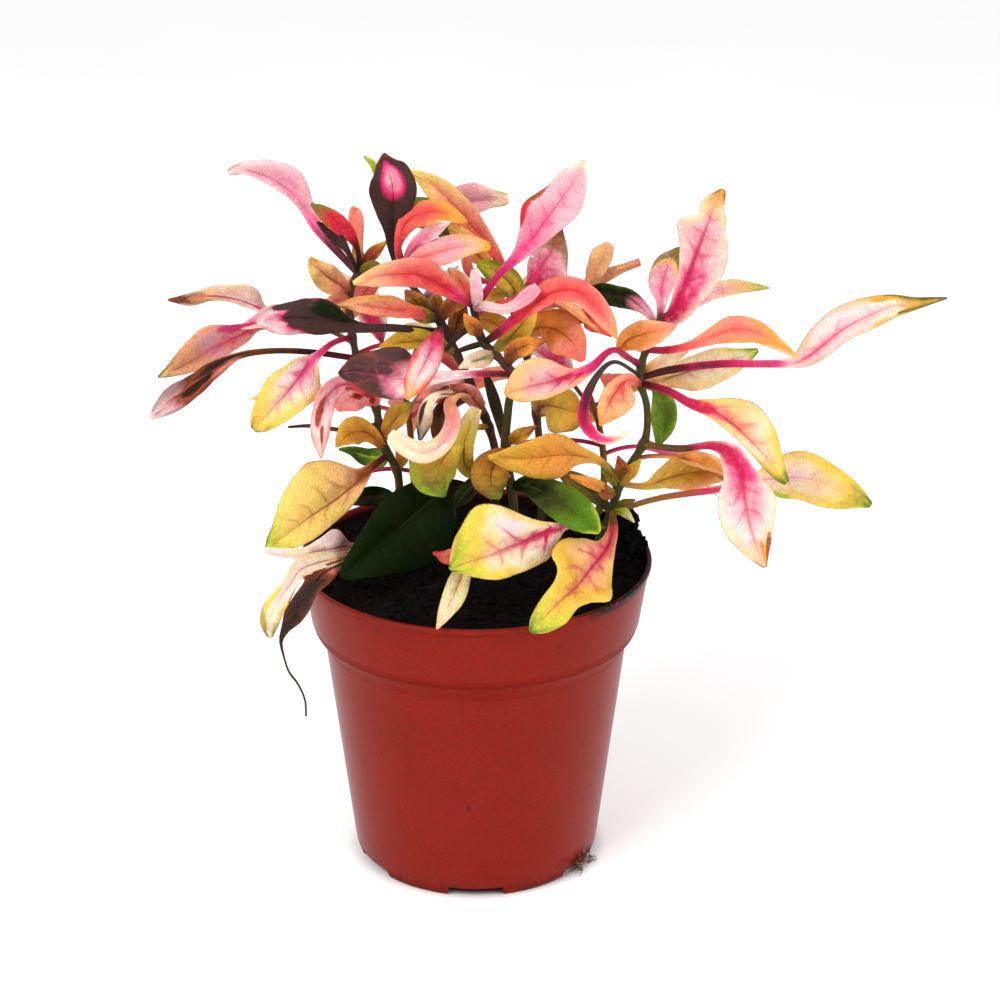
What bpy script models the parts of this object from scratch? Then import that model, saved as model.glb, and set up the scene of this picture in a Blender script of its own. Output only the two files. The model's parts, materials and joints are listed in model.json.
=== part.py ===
"""Potted alternanthera: a plastic nursery pot of peat with seven leafy stems.

The pot and the soil are turned shapes. A leafy stem is one body: a tube for each of its
branches and one thin waved blade for each leaf, joined by a Boolean union. Stems and leaves are
placed by the picture: a point is a pixel (px, py) of the 1000 pixel wide photograph, and y, how
many millimetres it lies behind the pot's axis. picture_spot turns it into a place in metres.
"""
import math
import random
from collections import namedtuple

import bmesh
import bpy
from mathutils import Matrix, Vector, noise

MM = 0.001

# The pot, in millimetres. Radii are to the outside.
POT_HEIGHT = 110.0
RIM_RADIUS = 60.6
COLLAR_FOOT_RADIUS = 56.4
COLLAR_HEIGHT = 22.0
COLLAR_SLANT = 7.5
BODY_TOP_RADIUS = 52.2
FOOT_RADIUS = 42.1
POT_WALL = 1.2
LIP_HEIGHT = 1.6
FOOT_RING_HEIGHT = 4.0
FOOT_NOTCHES = 6
NOTCH_WIDTH = 19.0
NOTCH_HEIGHT = 3.4
DRAIN_RADIUS = 3.5
DRAIN_CIRCLE = 33.5
POT_STEPS = 48

# The soil, in millimetres.
SOIL_LEVEL = 106.0
SOIL_MOUND = 1.5
SOIL_LUMPS = ((0.16, 1.6), (0.4, 0.9))
SOIL_GAP = 0.5
SOIL_STEPS = 48
SOIL_RINGS = 13
HEAP_PLACE = (47.0, 21.0)
HEAP_SPREAD = (8.0, 14.0)
HEAP_HEIGHT = 9.0
COLLAR_SLOPE = 0.17
STEM_HOLE_DEPTH = 14.0
HOLE_GAP = 0.35
DRILL_SIDES = 16

# The roots, in millimetres: each strand as (across, outward, height) places, seen from a notch.
ROOT_RADIUS = 0.75
ROOT_NOTCH = 1
ROOT_STRANDS = (
    ((0, 33.5, 5.0), (0, 33.8, 2.6), (0.5, 36, 1.5), (0, 40, 1.3), (-1.5, 43, 1.2), (-5, 45, 1.1)),
    ((0, 35, 1.6), (1.0, 40, 1.6), (3.5, 43, 1.5), (8, 44, 1.6)),
    ((0, 34, 2.2), (1.5, 39, 2.0), (2.5, 43, 2.2), (2.0, 46, 3.2)),
)

# Plain colours of the sub-parts and the angle between faces that stays sharp.
SHARP_ANGLE = 40
POT_COLOUR = (0.37, 0.04, 0.026)
SOIL_COLOUR = (0.006, 0.004, 0.004)
ROOT_COLOUR = (0.06, 0.02, 0.015)
STEM_COLOURS = {
    "stem_left": (0.8, 0.36, 0.33),
    "stem_upper_left": (0.75, 0.2, 0.12),
    "stem_centre": (0.82, 0.24, 0.2),
    "stem_top": (0.85, 0.4, 0.14),
    "stem_right": (0.85, 0.42, 0.2),
    "stem_back_left": (0.78, 0.36, 0.2),
    "stem_back_right": (0.8, 0.4, 0.16),
}

# The pot's axis in the part's frame, whose origin is under the middle of the whole plant.
POT_X = -24.6
POT_Y = -12.0
POT_AXIS = Vector((POT_X, POT_Y, 0.0))

# The photograph's view, from the pot's outline: millimetres, degrees and pixels.
VIEW_TILT = math.radians(22.9)
VIEW_DISTANCE = 1100.0
VIEW_AIM = Vector((8.4, 0.0, 130.8))
FOCAL_PIXELS = 3228.0
PICTURE_MIDDLE = 500.0

VIEW_AHEAD = Vector((0.0, math.cos(VIEW_TILT), -math.sin(VIEW_TILT)))
VIEW_UP = Vector((0.0, math.sin(VIEW_TILT), math.cos(VIEW_TILT)))
VIEW_EYE = VIEW_AIM - VIEW_AHEAD * VIEW_DISTANCE

# Leaves, in millimetres.
BLADE_THICKNESS = 0.66
RIB_THICKNESS = 1.0
PETIOLE_RADIUS = 0.85
FOLD = 14.0
WAVES = 2.0
PIXELS_PER_MM = 2.93
TIP_PIXELS = 1.3
WIDE_PIXELS = 12.0
STALK_PIXELS = 11.0
SECTIONS_PER_POINT = 2
SPLINE_SAMPLES = 12
STEM_STRIDE = 4
STEM_RISE = 2.0
WELD = 0.0003

# The leaves at the back, which the picture hides: where along the stem each grows, its compass
# turn in degrees (0 straight away from the viewer, 90 to the right), its length in millimetres,
# and how far it rises and droops, as shares of that length.
BACK_SEED = 7
BACK_WIDTH = 17.0
BACK_TILT = 0.3
BACK_PETIOLE = 0.28
BACK_STATIONS = 8
FOLD_LIFT = 0.25
BackLeaf = namedtuple("BackLeaf", "share turn length rise droop")
BACK_LEAVES = {
    "stem_left": [
        BackLeaf(0.68, -85, 46, 0.67, 0.70), BackLeaf(0.65, 50, 56, 0.25, 0.81)],
    "stem_upper_left": [BackLeaf(0.88, -30, 52, 0.21, 0.86)],
    "stem_centre": [BackLeaf(0.95, 85, 42, 0.63, 0.82)],
    "stem_top": [
        BackLeaf(0.59, 10, 54, 0.75, 0.44), BackLeaf(0.90, -60, 52, 0.82, 0.29)],
    "stem_right": [BackLeaf(0.47, 85, 48, 0.23, 0.75)],
    "stem_back_left": [
        BackLeaf(0.39, -80, 50, 0.21, 0.88), BackLeaf(0.98, -30, 56, 0.83, 0.31),
        BackLeaf(0.72, 0, 52, 0.28, 0.76), BackLeaf(0.78, -85, 56, 0.29, 0.22),
        BackLeaf(0.76, 55, 56, 0.41, 0.34), BackLeaf(0.96, 15, 50, 0.89, 0.88)],
    "stem_back_right": [
        BackLeaf(0.56, -15, 56, 0.32, 0.61), BackLeaf(0.87, 70, 50, 0.36, 0.26),
        BackLeaf(0.55, -75, 52, 0.25, 0.73), BackLeaf(0.49, 60, 48, 0.24, 0.77),
        BackLeaf(0.74, -35, 54, 0.71, 0.47), BackLeaf(0.75, 20, 50, 0.35, 0.45)],
}

# A leaf's section has six points, and a loft joins two of them: points 6 to 11 are the next
# section's. The two faces of a blade are split along the same diagonals.
FOOT_CAP = ((5, 4, 1), (5, 1, 0), (4, 3, 2), (4, 2, 1))
LOFT_FACES = (
    (0, 1, 7), (0, 7, 6), (4, 5, 10), (5, 11, 10),
    (1, 2, 7), (2, 8, 7), (3, 4, 10), (3, 10, 9),
    (5, 0, 6), (5, 6, 11), (2, 3, 9), (2, 9, 8),
)

# A stem's tube: (px, py, y) points, and its radius in millimetres at the two ends.
Branch = namedtuple("Branch", "points radius tip_radius")

# A leaf's points run from its root to its tip, each (px, py, y, left, right): left and right are
# the blade's half widths there, in pixels as the picture shows them. roll, in degrees, turns the
# blade's right edge to the viewer; wave is how far its edges swing, in millimetres.
Leaf = namedtuple("Leaf", "name points roll wave", defaults=(1.2,))

STEMS = {
    "stem_left": Branch(
        [(393, 556, 3), (398, 520, 2), (398, 475, 0), (383, 444, -2), (375, 404, -4),
         (358, 362, -5), (350, 320, -3), (350, 292, 0), (362, 264, 4)], 1.7, 1.0),
    "stem_upper_left": Branch(
        [(490, 545, 6), (495, 500, 6), (495, 450, 5), (480, 405, 3), (462, 365, 2),
         (440, 322, 2), (415, 290, 4), (397, 262, 6)], 1.8, 1.1),
    "stem_centre": Branch(
        [(516, 558, -4), (513, 500, -5), (506, 450, -6), (508, 410, -7), (512, 376, -8),
         (499, 358, -8), (484, 343, -7), (477, 326, -6), (474, 306, -5)], 1.8, 1.1),
    "stem_top": Branch(
        [(541, 530, 26), (542, 480, 26), (537, 420, 24), (527, 360, 20), (514, 310, 16),
         (504, 275, 14)], 1.7, 1.0),
    "stem_right": Branch(
        [(590, 560, 2), (600, 538, 2), (612, 512, 0), (617, 490, -1), (630, 465, -2),
         (645, 440, -2), (647, 408, -2), (640, 378, -2), (646, 350, 0), (664, 314, 4)],
        1.8, 1.0),
    "stem_back_left": Branch(
        [(420, 528, 28), (414, 480, 30), (410, 430, 32), (404, 385, 33)], 1.6, 1.0),
    "stem_back_right": Branch(
        [(595, 528, 32), (604, 480, 35), (600, 430, 38), (588, 390, 38)], 1.6, 1.0),
}

LEAVES = {
    "stem_left": [
        Leaf("pale_top", [(358, 274, 2, 3, 3), (340, 254, 4, 4, 4), (318, 228, 8, 6, 6),
                          (302, 205, 12, 5, 12), (288, 189, 16, 7, 21), (268, 177, 19, 7, 18),
                          (249, 171, 22, 5, 10), (235, 171, 24, 4, 6), (228, 173, 24, 2, 3)], 40),
        Leaf("red_green_tip", [(358, 268, 2, 3, 3), (357, 248, -2, 3, 3), (348, 232, -6, 8, 7),
                               (334, 220, -8, 10, 9), (320, 210, -9, 6, 6),
                               (311, 204, -9, 1, 1)], 25),
        Leaf("orange_fold", [(361, 266, 3, 3, 3), (361, 245, 8, 2, 2), (358, 228, 10, 8, 6),
                             (355, 214, 12, 7, 7), (352, 207, 12, 2, 2)], 30),
        Leaf("apex_left", [(361, 266, 3, 3, 3), (358, 254, 8, 6, 6), (354, 240, 10, 1, 1)], 10),
        Leaf("apex_right", [(362, 266, 3, 3, 3), (374, 253, 2, 7, 6), (387, 241, 0, 1, 1)], 10),
        Leaf("apex_low", [(359, 270, 3, 3, 3), (372, 265, -2, 5, 7), (385, 269, -6, 1, 1)], 10),
        Leaf("orange_up", [(350, 292, 0, 3, 3), (341, 285, -5, 12, 8), (328, 277, -9, 15, 13),
                           (317, 267, -12, 10, 8), (310, 258, -13, 2, 2)], -10),
        Leaf("orange_low", [(350, 296, 0, 3, 3), (336, 301, -8, 6, 8), (319, 306, -14, 1, 1)],
             20),
        Leaf("pale_brown_tip", [(350, 302, 0, 3, 3), (310, 313, 10, 3, 3), (268, 310, 14, 3, 3),
                                (250, 303, 14, 6, 16), (230, 297, 14, 5, 14),
                                (210, 296, 14, 5, 9), (190, 299, 13, 7, 6),
                                (168, 300, 12, 1, 1)], 45),
        Leaf("big_pink", [(350, 318, -3, 3, 3), (305, 330, 4, 3, 3), (262, 326, 0, 4, 4),
                          (240, 335, -4, 11, 12), (215, 347, -6, 14, 23), (190, 362, -8, 11, 17),
                          (172, 371, -10, 6, 8), (158, 377, -10, 1, 1)], 35),
        Leaf("rolled_brown", [(357, 360, -5, 3, 3), (310, 352, -12, 3, 3), (270, 351, -18, 3, 3),
                              (238, 356, -20, 4, 4), (215, 370, -20, 8, 9),
                              (195, 384, -20, 11, 10), (178, 397, -19, 12, 15),
                              (161, 411, -18, 7, 10), (151, 418, -18, 2, 3)], 50),
        Leaf("pale_magenta", [(352, 336, -4, 3, 3), (333, 343, -14, 3, 3), (316, 357, -22, 5, 5),
                              (307, 367, -25, 17, 14), (299, 377, -28, 27, 18),
                              (288, 391, -31, 24, 24), (273, 408, -34, 19, 20),
                              (259, 424, -36, 11, 11), (254, 430, -36, 4, 4)], 10),
        Leaf("dry_point", [(380, 425, -3, 3, 3), (345, 430, -14, 2, 2), (312, 426, -18, 2, 2),
                           (288, 427, -20, 1, 1)], 0),
        Leaf("rust_curl", [(375, 404, -4, 3, 3), (362, 390, -18, 5, 7), (345, 384, -25, 9, 9),
                           (329, 394, -29, 11, 10), (322, 412, -31, 11, 10), (320, 436, -32, 9, 9),
                           (321, 458, -32, 1, 1)], 30, wave=2.4),
        Leaf("big_yellow", [(388, 455, -2, 3, 3), (371, 468, -10, 4, 5), (362, 478, -15, 7, 14),
                            (350, 488, -19, 13, 36), (335, 500, -23, 17, 46),
                            (317, 512, -28, 20, 42), (299, 525, -33, 20, 31),
                            (283, 537, -36, 15, 17), (271, 546, -38, 7, 8),
                            (266, 549, -38, 2, 2)], 5),
        Leaf("withered", [(396, 540, 2, 3, 3), (365, 550, -16, 3, 3), (338, 558, -32, 6, 6),
                          (317, 563, -42, 9, 11), (300, 570, -49, 8, 10), (291, 583, -53, 7, 8),
                          (281, 597, -55, 10, 10), (273, 610, -57, 11, 11), (270, 624, -58, 9, 10),
                          (270, 637, -58, 3, 3)], 0, wave=2.0),
        Leaf("withered_thread", [(396, 544, 2, 3, 3), (358, 558, -20, 3, 3), (336, 566, -34, 8, 8),
                                 (321, 575, -41, 12, 11), (310, 589, -46, 9, 9),
                                 (301, 603, -49, 11, 10), (293, 617, -52, 10, 10),
                                 (286, 628, -54, 5, 5), (281, 641, -56, 2, 2),
                                 (284, 657, -56, 1, 1), (289, 672, -56, 1, 1),
                                 (298, 684, -56, 1, 1), (305, 700, -56, 1, 1),
                                 (306, 716, -56, 1, 1)], 0),
        Leaf("ochre_small", [(386, 450, -2, 3, 3), (370, 434, -8, 9, 9), (354, 432, -14, 13, 16),
                             (342, 440, -17, 7, 8), (336, 447, -18, 1, 1)], 10),
        Leaf("ochre_folded", [(382, 442, -2, 3, 3), (390, 426, -5, 9, 8), (400, 414, -8, 12, 10),
                              (414, 402, -11, 1, 1)], 20),
        Leaf("green_small", [(388, 454, -2, 3, 3), (380, 457, 4, 11, 9), (366, 456, 7, 10, 8),
                             (352, 451, 9, 5, 5), (339, 449, 10, 1, 1)], 20),
        Leaf("dark_small", [(356, 272, 2, 3, 3), (348, 252, -4, 3, 3), (338, 238, -5, 7, 6),
                            (326, 228, -6, 5, 4), (317, 222, -6, 1, 1)], 10),
        Leaf("rust_flap", [(376, 406, -4, 3, 3), (372, 394, -10, 10, 10), (360, 393, -15, 15, 14),
                           (347, 400, -19, 14, 12), (337, 410, -21, 3, 3)], 0, wave=1.6),
        Leaf("dark_low", [(398, 506, 2, 3, 3), (386, 497, 9, 8, 8), (370, 496, 11, 11, 10),
                          (354, 500, 12, 6, 6), (344, 504, 12, 1, 1)], 0),
        Leaf("olive_by_stem", [(397, 470, 0, 3, 3), (402, 458, 7, 7, 7), (403, 445, 8, 7, 7),
                               (400, 433, 9, 1, 1)], 0),
        Leaf("withered_wing", [(396, 538, 2, 3, 3), (364, 544, -10, 3, 3), (350, 546, -20, 4, 4),
                               (340, 547, -27, 11, 18), (325, 550, -34, 16, 14),
                               (305, 553, -41, 7, 6), (284, 553, -45, 5, 5),
                               (265, 550, -47, 3, 3)], 0, wave=2.4),
    ],
    "stem_upper_left": [
        Leaf("lollipop", [(399, 266, 5, 6, 6), (394, 245, 0, 7, 7), (393, 232, -3, 9, 9),
                          (393, 213, -6, 17, 17), (393, 192, -8, 24, 24), (390, 175, -10, 20, 21),
                          (386, 164, -11, 11, 13), (384, 154, -12, 2, 2)], 0),
        Leaf("green_point", [(401, 268, 5, 3, 3), (388, 215, 8, 2, 2), (376, 170, 12, 4, 4),
                             (364, 156, 13, 1, 1)], 0),
        Leaf("coral_orange", [(402, 270, 5, 3, 3), (398, 246, -5, 4, 4), (407, 222, -8, 9, 11),
                              (425, 212, -11, 12, 14), (446, 213, -14, 10, 11),
                              (467, 222, -16, 2, 2)], 40),
        Leaf("magenta_strip", [(402, 272, 5, 3, 3), (411, 250, -10, 5, 5), (425, 237, -14, 8, 7),
                               (438, 228, -17, 8, 6), (450, 222, -18, 1, 1)], 20),
        Leaf("salmon", [(406, 276, 5, 3, 3), (418, 260, -13, 9, 12), (443, 251, -18, 14, 14),
                        (468, 246, -22, 12, 10), (490, 246, -25, 4, 4)], 25),
        Leaf("orange_side", [(406, 278, 5, 3, 3), (414, 264, -8, 8, 7), (426, 252, -10, 7, 6),
                             (440, 246, -11, 1, 1)], 10),
        Leaf("peach_veins", [(438, 318, 2, 3, 3), (415, 313, -12, 6, 7), (385, 308, -17, 9, 13),
                             (358, 305, -20, 7, 9), (338, 305, -22, 1, 1)], 30),
        Leaf("dark_pink_tip", [(446, 330, 2, 3, 3), (395, 328, -14, 4, 4), (365, 328, -20, 5, 5),
                               (345, 325, -23, 8, 10), (325, 320, -25, 15, 20),
                               (305, 318, -28, 16, 19), (285, 318, -30, 17, 15),
                               (268, 320, -32, 12, 11), (257, 323, -33, 3, 3)], 25),
        Leaf("pink_hanging", [(441, 325, 2, 3, 3), (438, 335, -26, 6, 6), (431, 350, -42, 13, 12),
                              (422, 368, -52, 15, 14), (413, 386, -56, 11, 10),
                              (407, 400, -58, 1, 1)], 15),
        Leaf("yellow_behind", [(457, 354, 2, 3, 3), (430, 342, -4, 6, 10), (405, 342, -6, 8, 13),
                               (380, 347, -8, 2, 2)], 20),
        Leaf("olive_left", [(434, 314, 2, 3, 3), (424, 309, -3, 9, 10), (413, 298, -5, 10, 8),
                            (405, 290, -5, 1, 1)], 15),
        Leaf("olive_right", [(440, 322, 2, 3, 3), (448, 308, 2, 8, 8), (460, 301, 3, 9, 8),
                             (471, 298, 4, 1, 1)], 15),
        Leaf("pinkish_small", [(422, 299, 4, 3, 3), (442, 280, 2, 6, 7), (459, 266, 4, 1, 1)],
             10),
        Leaf("cream_crescent", [(478, 400, 3, 3, 3), (462, 394, -14, 3, 3), (450, 403, -20, 6, 6),
                                (453, 419, -24, 8, 8), (448, 436, -28, 9, 9),
                                (437, 448, -31, 10, 10), (422, 453, -33, 11, 11),
                                (407, 447, -34, 10, 10), (396, 438, -35, 9, 8),
                                (390, 433, -35, 4, 4)], 0, wave=0.4),
        Leaf("spotted", [(476, 398, 3, 3, 3), (442, 394, -22, 3, 3), (428, 404, -26, 6, 6),
                         (424, 422, -30, 8, 8), (420, 440, -34, 2, 2)], 0, wave=0.4),
        Leaf("two_lobed", [(488, 425, 4, 3, 3), (472, 428, -8, 4, 4), (459, 438, -13, 9, 9),
                           (447, 453, -17, 14, 17), (439, 468, -20, 18, 29),
                           (438, 482, -22, 15, 24), (444, 497, -24, 2, 2)], 0),
        Leaf("brown_curl", [(479, 403, 3, 3, 3), (466, 397, 8, 6, 6), (452, 401, 10, 9, 9),
                            (441, 414, 11, 9, 9), (437, 430, 11, 7, 7), (434, 441, 11, 1, 1)], 0),
        Leaf("pale_under", [(469, 380, 2, 3, 3), (456, 385, 8, 5, 5), (440, 390, 9, 9, 9),
                            (425, 396, 9, 7, 7), (413, 402, 9, 1, 1)], 0),
        Leaf("brown_upper", [(450, 341, 2, 3, 3), (455, 330, 7, 8, 8), (459, 318, 8, 10, 10),
                             (463, 307, 8, 5, 5), (466, 300, 8, 1, 1)], 0),
        Leaf("rust_upper", [(440, 322, 2, 3, 3), (438, 310, 7, 6, 6), (435, 299, 8, 7, 7),
                            (431, 291, 8, 1, 1)], 0),
        Leaf("dark_green_low", [(495, 484, 6, 3, 3), (476, 484, -6, 8, 8), (462, 497, -12, 8, 8),
                                (454, 508, -14, 2, 2)], 10),
        Leaf("pinkish_brown", [(484, 414, 3, 3, 3), (470, 395, -8, 9, 10), (450, 386, -12, 2, 2)],
             20),
        Leaf("big_dark", [(495, 495, 6, 3, 3), (455, 487, 0, 8, 8), (430, 502, -10, 40, 26),
                          (405, 523, -18, 50, 32), (380, 544, -26, 38, 24), (358, 562, -33, 20, 14),
                          (346, 573, -37, 10, 8), (341, 577, -38, 3, 3)], 20),
        Leaf("olive_low", [(438, 319, 2, 3, 3), (428, 317, -6, 7, 7), (416, 312, -9, 8, 7),
                           (404, 308, -10, 1, 1)], 10),
        Leaf("pale_strip", [(494, 466, 6, 3, 3), (480, 474, -8, 6, 6), (466, 466, -12, 9, 9),
                            (464, 446, -14, 10, 10), (470, 424, -16, 10, 9),
                            (477, 408, -17, 6, 5)], 0),
    ],
    "stem_centre": [
        Leaf("coral_under", [(474, 306, -5, 3, 3), (460, 298, -18, 5, 6), (442, 286, -24, 10, 12),
                             (420, 275, -28, 13, 18), (395, 274, -32, 13, 14),
                             (372, 278, -35, 9, 9), (353, 283, -36, 2, 2)], 35),
        Leaf("round_dark", [(514, 374, -8, 3, 3), (470, 374, -28, 4, 4), (432, 377, -37, 8, 8),
                            (405, 379, -43, 20, 30), (380, 376, -47, 21, 29),
                            (358, 372, -50, 14, 19), (345, 373, -52, 8, 9),
                            (339, 374, -53, 2, 2)], 20),
        Leaf("big_pink_up", [(475, 310, -6, 3, 3), (486, 292, -8, 4, 4), (501, 272, -9, 4, 4),
                             (517, 256, -9, 6, 7), (533, 238, -10, 17, 12), (546, 220, -11, 28, 18),
                             (563, 197, -12, 19, 22), (575, 180, -13, 16, 13),
                             (584, 161, -14, 3, 3)], 10),
        Leaf("crescent_left", [(474, 308, -5, 3, 3), (477, 298, -16, 6, 6), (476, 286, -18, 6, 6),
                               (475, 274, -19, 5, 5), (474, 269, -19, 3, 3)], 0, wave=0.6),
        Leaf("crescent_right", [(475, 310, -5, 3, 3), (484, 306, -15, 5, 5), (494, 308, -20, 5, 5),
                                (505, 309, -22, 5, 5), (517, 304, -24, 6, 6), (528, 296, -26, 8, 7),
                                (538, 287, -27, 5, 5)], 0, wave=0.6),
        Leaf("coral_arch", [(484, 344, -7, 3, 3), (498, 333, -14, 5, 5), (514, 319, -18, 5, 6),
                            (532, 305, -22, 9, 9), (552, 293, -26, 14, 11), (575, 290, -30, 13, 12),
                            (594, 304, -34, 12, 11), (607, 322, -37, 9, 8),
                            (617, 339, -38, 1, 1)], 40),
        Leaf("orange_brown", [(511, 362, -8, 3, 3), (514, 352, -14, 10, 9), (528, 345, -18, 9, 9),
                              (547, 340, -20, 1, 1)], 20),
        Leaf("yellow_mid", [(492, 352, -7, 3, 3), (505, 342, -9, 8, 9), (517, 330, -10, 13, 14),
                            (529, 316, -10, 10, 9), (536, 306, -10, 1, 1)], 10),
        Leaf("cream_triangle", [(494, 355, -7, 3, 3), (484, 358, -12, 9, 9),
                                (472, 362, -14, 7, 8), (459, 368, -15, 1, 1)], 10),
        Leaf("pale_green_small", [(507, 442, -6, 3, 3), (520, 436, -10, 8, 7),
                                  (536, 426, -14, 1, 1)], 10),
        Leaf("orange_brown_low", [(508, 460, -6, 3, 3), (501, 457, -12, 8, 10),
                                  (493, 467, -15, 19, 19), (491, 479, -18, 20, 20),
                                  (495, 491, -20, 12, 12), (500, 499, -21, 2, 2)], 0),
        Leaf("green_front", [(511, 486, -5, 3, 3), (528, 486, -13, 12, 9),
                             (545, 493, -20, 16, 15), (561, 503, -28, 20, 18),
                             (577, 514, -36, 19, 17), (590, 524, -40, 13, 12),
                             (599, 532, -43, 3, 3)], 20),
        Leaf("pale_pointed", [(515, 530, -4, 3, 3), (490, 548, -26, 3, 3), (468, 562, -38, 5, 5),
                              (461, 578, -45, 10, 11), (453, 597, -53, 12, 11),
                              (444, 615, -60, 7, 7), (437, 629, -64, 1, 1)], 0),
        Leaf("red_bit", [(515, 540, -4, 3, 3), (475, 547, -30, 3, 3), (450, 557, -36, 8, 8),
                         (433, 553, -38, 1, 1)], 10),
        Leaf("stalk_c", [(507, 446, -6, 3, 3), (500, 422, -2, 5, 5), (494, 400, -3, 6, 6),
                         (488, 381, -3, 5, 5)], 0, wave=0.2),
        Leaf("coral_behind", [(475, 302, -5, 3, 3), (469, 292, -8, 5, 5), (461, 282, -9, 8, 8),
                              (454, 274, -9, 6, 6), (448, 268, -9, 1, 1)], 0),
        Leaf("brown_triangle", [(479, 336, -6, 3, 3), (476, 329, -12, 9, 8), (469, 321, -14, 6, 6),
                                (464, 314, -15, 1, 1)], 0),
        Leaf("stalk_a", [(477, 326, -6, 3, 3), (467, 330, -12, 3, 3), (455, 339, -14, 3, 3),
                         (446, 350, -14, 2, 2)], 0, wave=0.2),
        Leaf("stalk_b", [(484, 344, -7, 3, 3), (470, 347, -12, 3, 3),
                         (455, 352, -14, 2, 2)], 0, wave=0.2),
    ],
    "stem_top": [
        Leaf("peach_top", [(507, 285, 14, 3, 3), (498, 260, 17, 4, 6), (483, 239, 18, 10, 10),
                           (466, 219, 18, 15, 14), (449, 200, 18, 16, 14), (431, 184, 18, 11, 10),
                           (411, 171, 18, 2, 2)], 20),
        Leaf("pale_wing", [(508, 290, 14, 3, 3), (474, 238, 27, 2, 2), (454, 212, 29, 5, 5),
                           (458, 203, 30, 15, 9), (474, 201, 31, 18, 13), (492, 200, 32, 11, 8),
                           (503, 199, 33, 7, 7), (508, 198, 33, 5, 5)], -20, wave=0.6),
        Leaf("pink_olive_tip", [(513, 305, 16, 3, 3), (532, 285, 13, 7, 8), (542, 266, 12, 15, 27),
                                (553, 249, 11, 12, 17), (561, 229, 10, 2, 2)], 10),
        Leaf("red_behind", [(520, 332, 16, 3, 3), (570, 322, 8, 3, 3), (584, 316, 6, 9, 11),
                            (600, 322, 3, 11, 13), (612, 336, 0, 2, 2)], 0),
        Leaf("peach_twisted", [(515, 313, 16, 3, 3), (560, 300, 19, 3, 3), (588, 284, 20, 6, 6),
                               (595, 270, 20, 9, 10), (603, 256, 20, 12, 10),
                               (610, 244, 20, 5, 5)], -10),
        Leaf("orange_red_large", [(523, 342, 17, 3, 3), (538, 328, 4, 12, 10),
                                  (556, 330, 0, 22, 20), (572, 342, -5, 16, 20),
                                  (583, 361, -9, 3, 3)], 20),
        Leaf("orange_yellow_behind", [(536, 415, 24, 3, 3), (545, 406, 11, 17, 20),
                                      (561, 408, 6, 21, 26), (576, 413, 2, 14, 19),
                                      (588, 415, 0, 3, 3)], 10),
        Leaf("yellow_green_edge", [(512, 303, 16, 3, 3), (514, 290, 6, 9, 11),
                                   (504, 277, 5, 13, 13), (489, 268, 4, 10, 9),
                                   (477, 264, 4, 3, 3)], 10),
        Leaf("yellow_under", [(523, 346, 19, 3, 3), (511, 334, 11, 7, 7), (497, 325, 8, 11, 11),
                              (484, 319, 7, 8, 8), (473, 315, 6, 1, 1)], 10),
        Leaf("gold_under", [(508, 292, 15, 3, 3), (499, 294, 9, 7, 7), (488, 296, 8, 6, 6),
                            (479, 300, 7, 1, 1)], 0),
        Leaf("gold_lobe", [(505, 280, 14, 3, 3), (488, 264, 14, 6, 6), (474, 251, 13, 11, 10),
                           (461, 237, 12, 11, 10), (449, 226, 11, 2, 2)], 0),
        Leaf("coral_narrow", [(504, 279, 14, 3, 3), (484, 281, 12, 3, 3), (470, 272, 11, 5, 5),
                              (466, 258, 10, 5, 5), (465, 244, 10, 2, 2)], 0),
        Leaf("peach_strip", [(515, 314, 16, 3, 3), (560, 303, 22, 3, 3), (590, 287, 25, 4, 4),
                             (606, 275, 24, 6, 7), (622, 268, 23, 4, 5), (640, 262, 22, 4, 4)], 0,
             wave=0.4),
    ],
    "stem_right": [
        Leaf("big_upright", [(662, 320, 3, 3, 3), (672, 312, -1, 5, 15), (682, 293, -3, 9, 22),
                             (690, 272, -4, 12, 31), (698, 250, -5, 20, 31), (704, 234, -6, 28, 26),
                             (707, 226, -7, 24, 20), (710, 219, -7, 12, 17), (713, 208, -7, 13, 12),
                             (719, 198, -8, 9, 7), (723, 190, -9, 3, 3)], 15),
        Leaf("pale_olive_tip", [(660, 324, 3, 3, 3), (661, 302, 10, 5, 6), (662, 285, 13, 14, 12),
                                (668, 266, 16, 14, 12), (676, 253, 18, 6, 6),
                                (681, 247, 19, 1, 1)], 0),
        Leaf("pale_wing_right", [(664, 316, 3, 3, 3), (693, 303, 14, 4, 6), (712, 293, 15, 8, 7),
                                 (732, 287, 16, 8, 8), (750, 287, 17, 5, 5),
                                 (769, 288, 18, 1, 1)], 45),
        Leaf("dark_green", [(659, 327, 3, 3, 3), (645, 309, 12, 6, 5), (627, 297, 14, 12, 9),
                            (605, 292, 16, 13, 9), (592, 290, 17, 9, 5), (583, 288, 18, 1, 1)],
             35),
        Leaf("orange_under", [(644, 364, -1, 3, 3), (622, 353, -12, 4, 4), (628, 340, -16, 11, 14),
                              (645, 334, -20, 14, 16), (663, 329, -22, 8, 10),
                              (677, 325, -23, 1, 1)], 30),
        Leaf("coral_arch_right", [(646, 350, 0, 3, 3), (668, 350, -12, 4, 4),
                                  (690, 346, -16, 5, 4), (712, 337, -20, 9, 8),
                                  (733, 330, -23, 14, 13), (755, 332, -26, 12, 11),
                                  (777, 344, -30, 7, 6), (801, 360, -33, 1, 1)], 40),
        Leaf("long_right", [(640, 378, -2, 3, 3), (670, 370, -4, 4, 4), (720, 364, -5, 4, 4),
                            (785, 364, -6, 5, 4), (803, 360, -6, 12, 8), (822, 346, -6, 20, 12),
                            (842, 330, -5, 22, 12), (864, 318, -4, 20, 14),
                            (890, 307, -3, 13, 12), (915, 303, -1, 6, 7), (935, 300, 0, 3, 3),
                            (947, 298, 0, 1, 1)], 30),
        Leaf("cream_behind", [(641, 384, -2, 3, 3), (655, 381, 12, 4, 4), (672, 377, 16, 10, 12),
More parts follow.
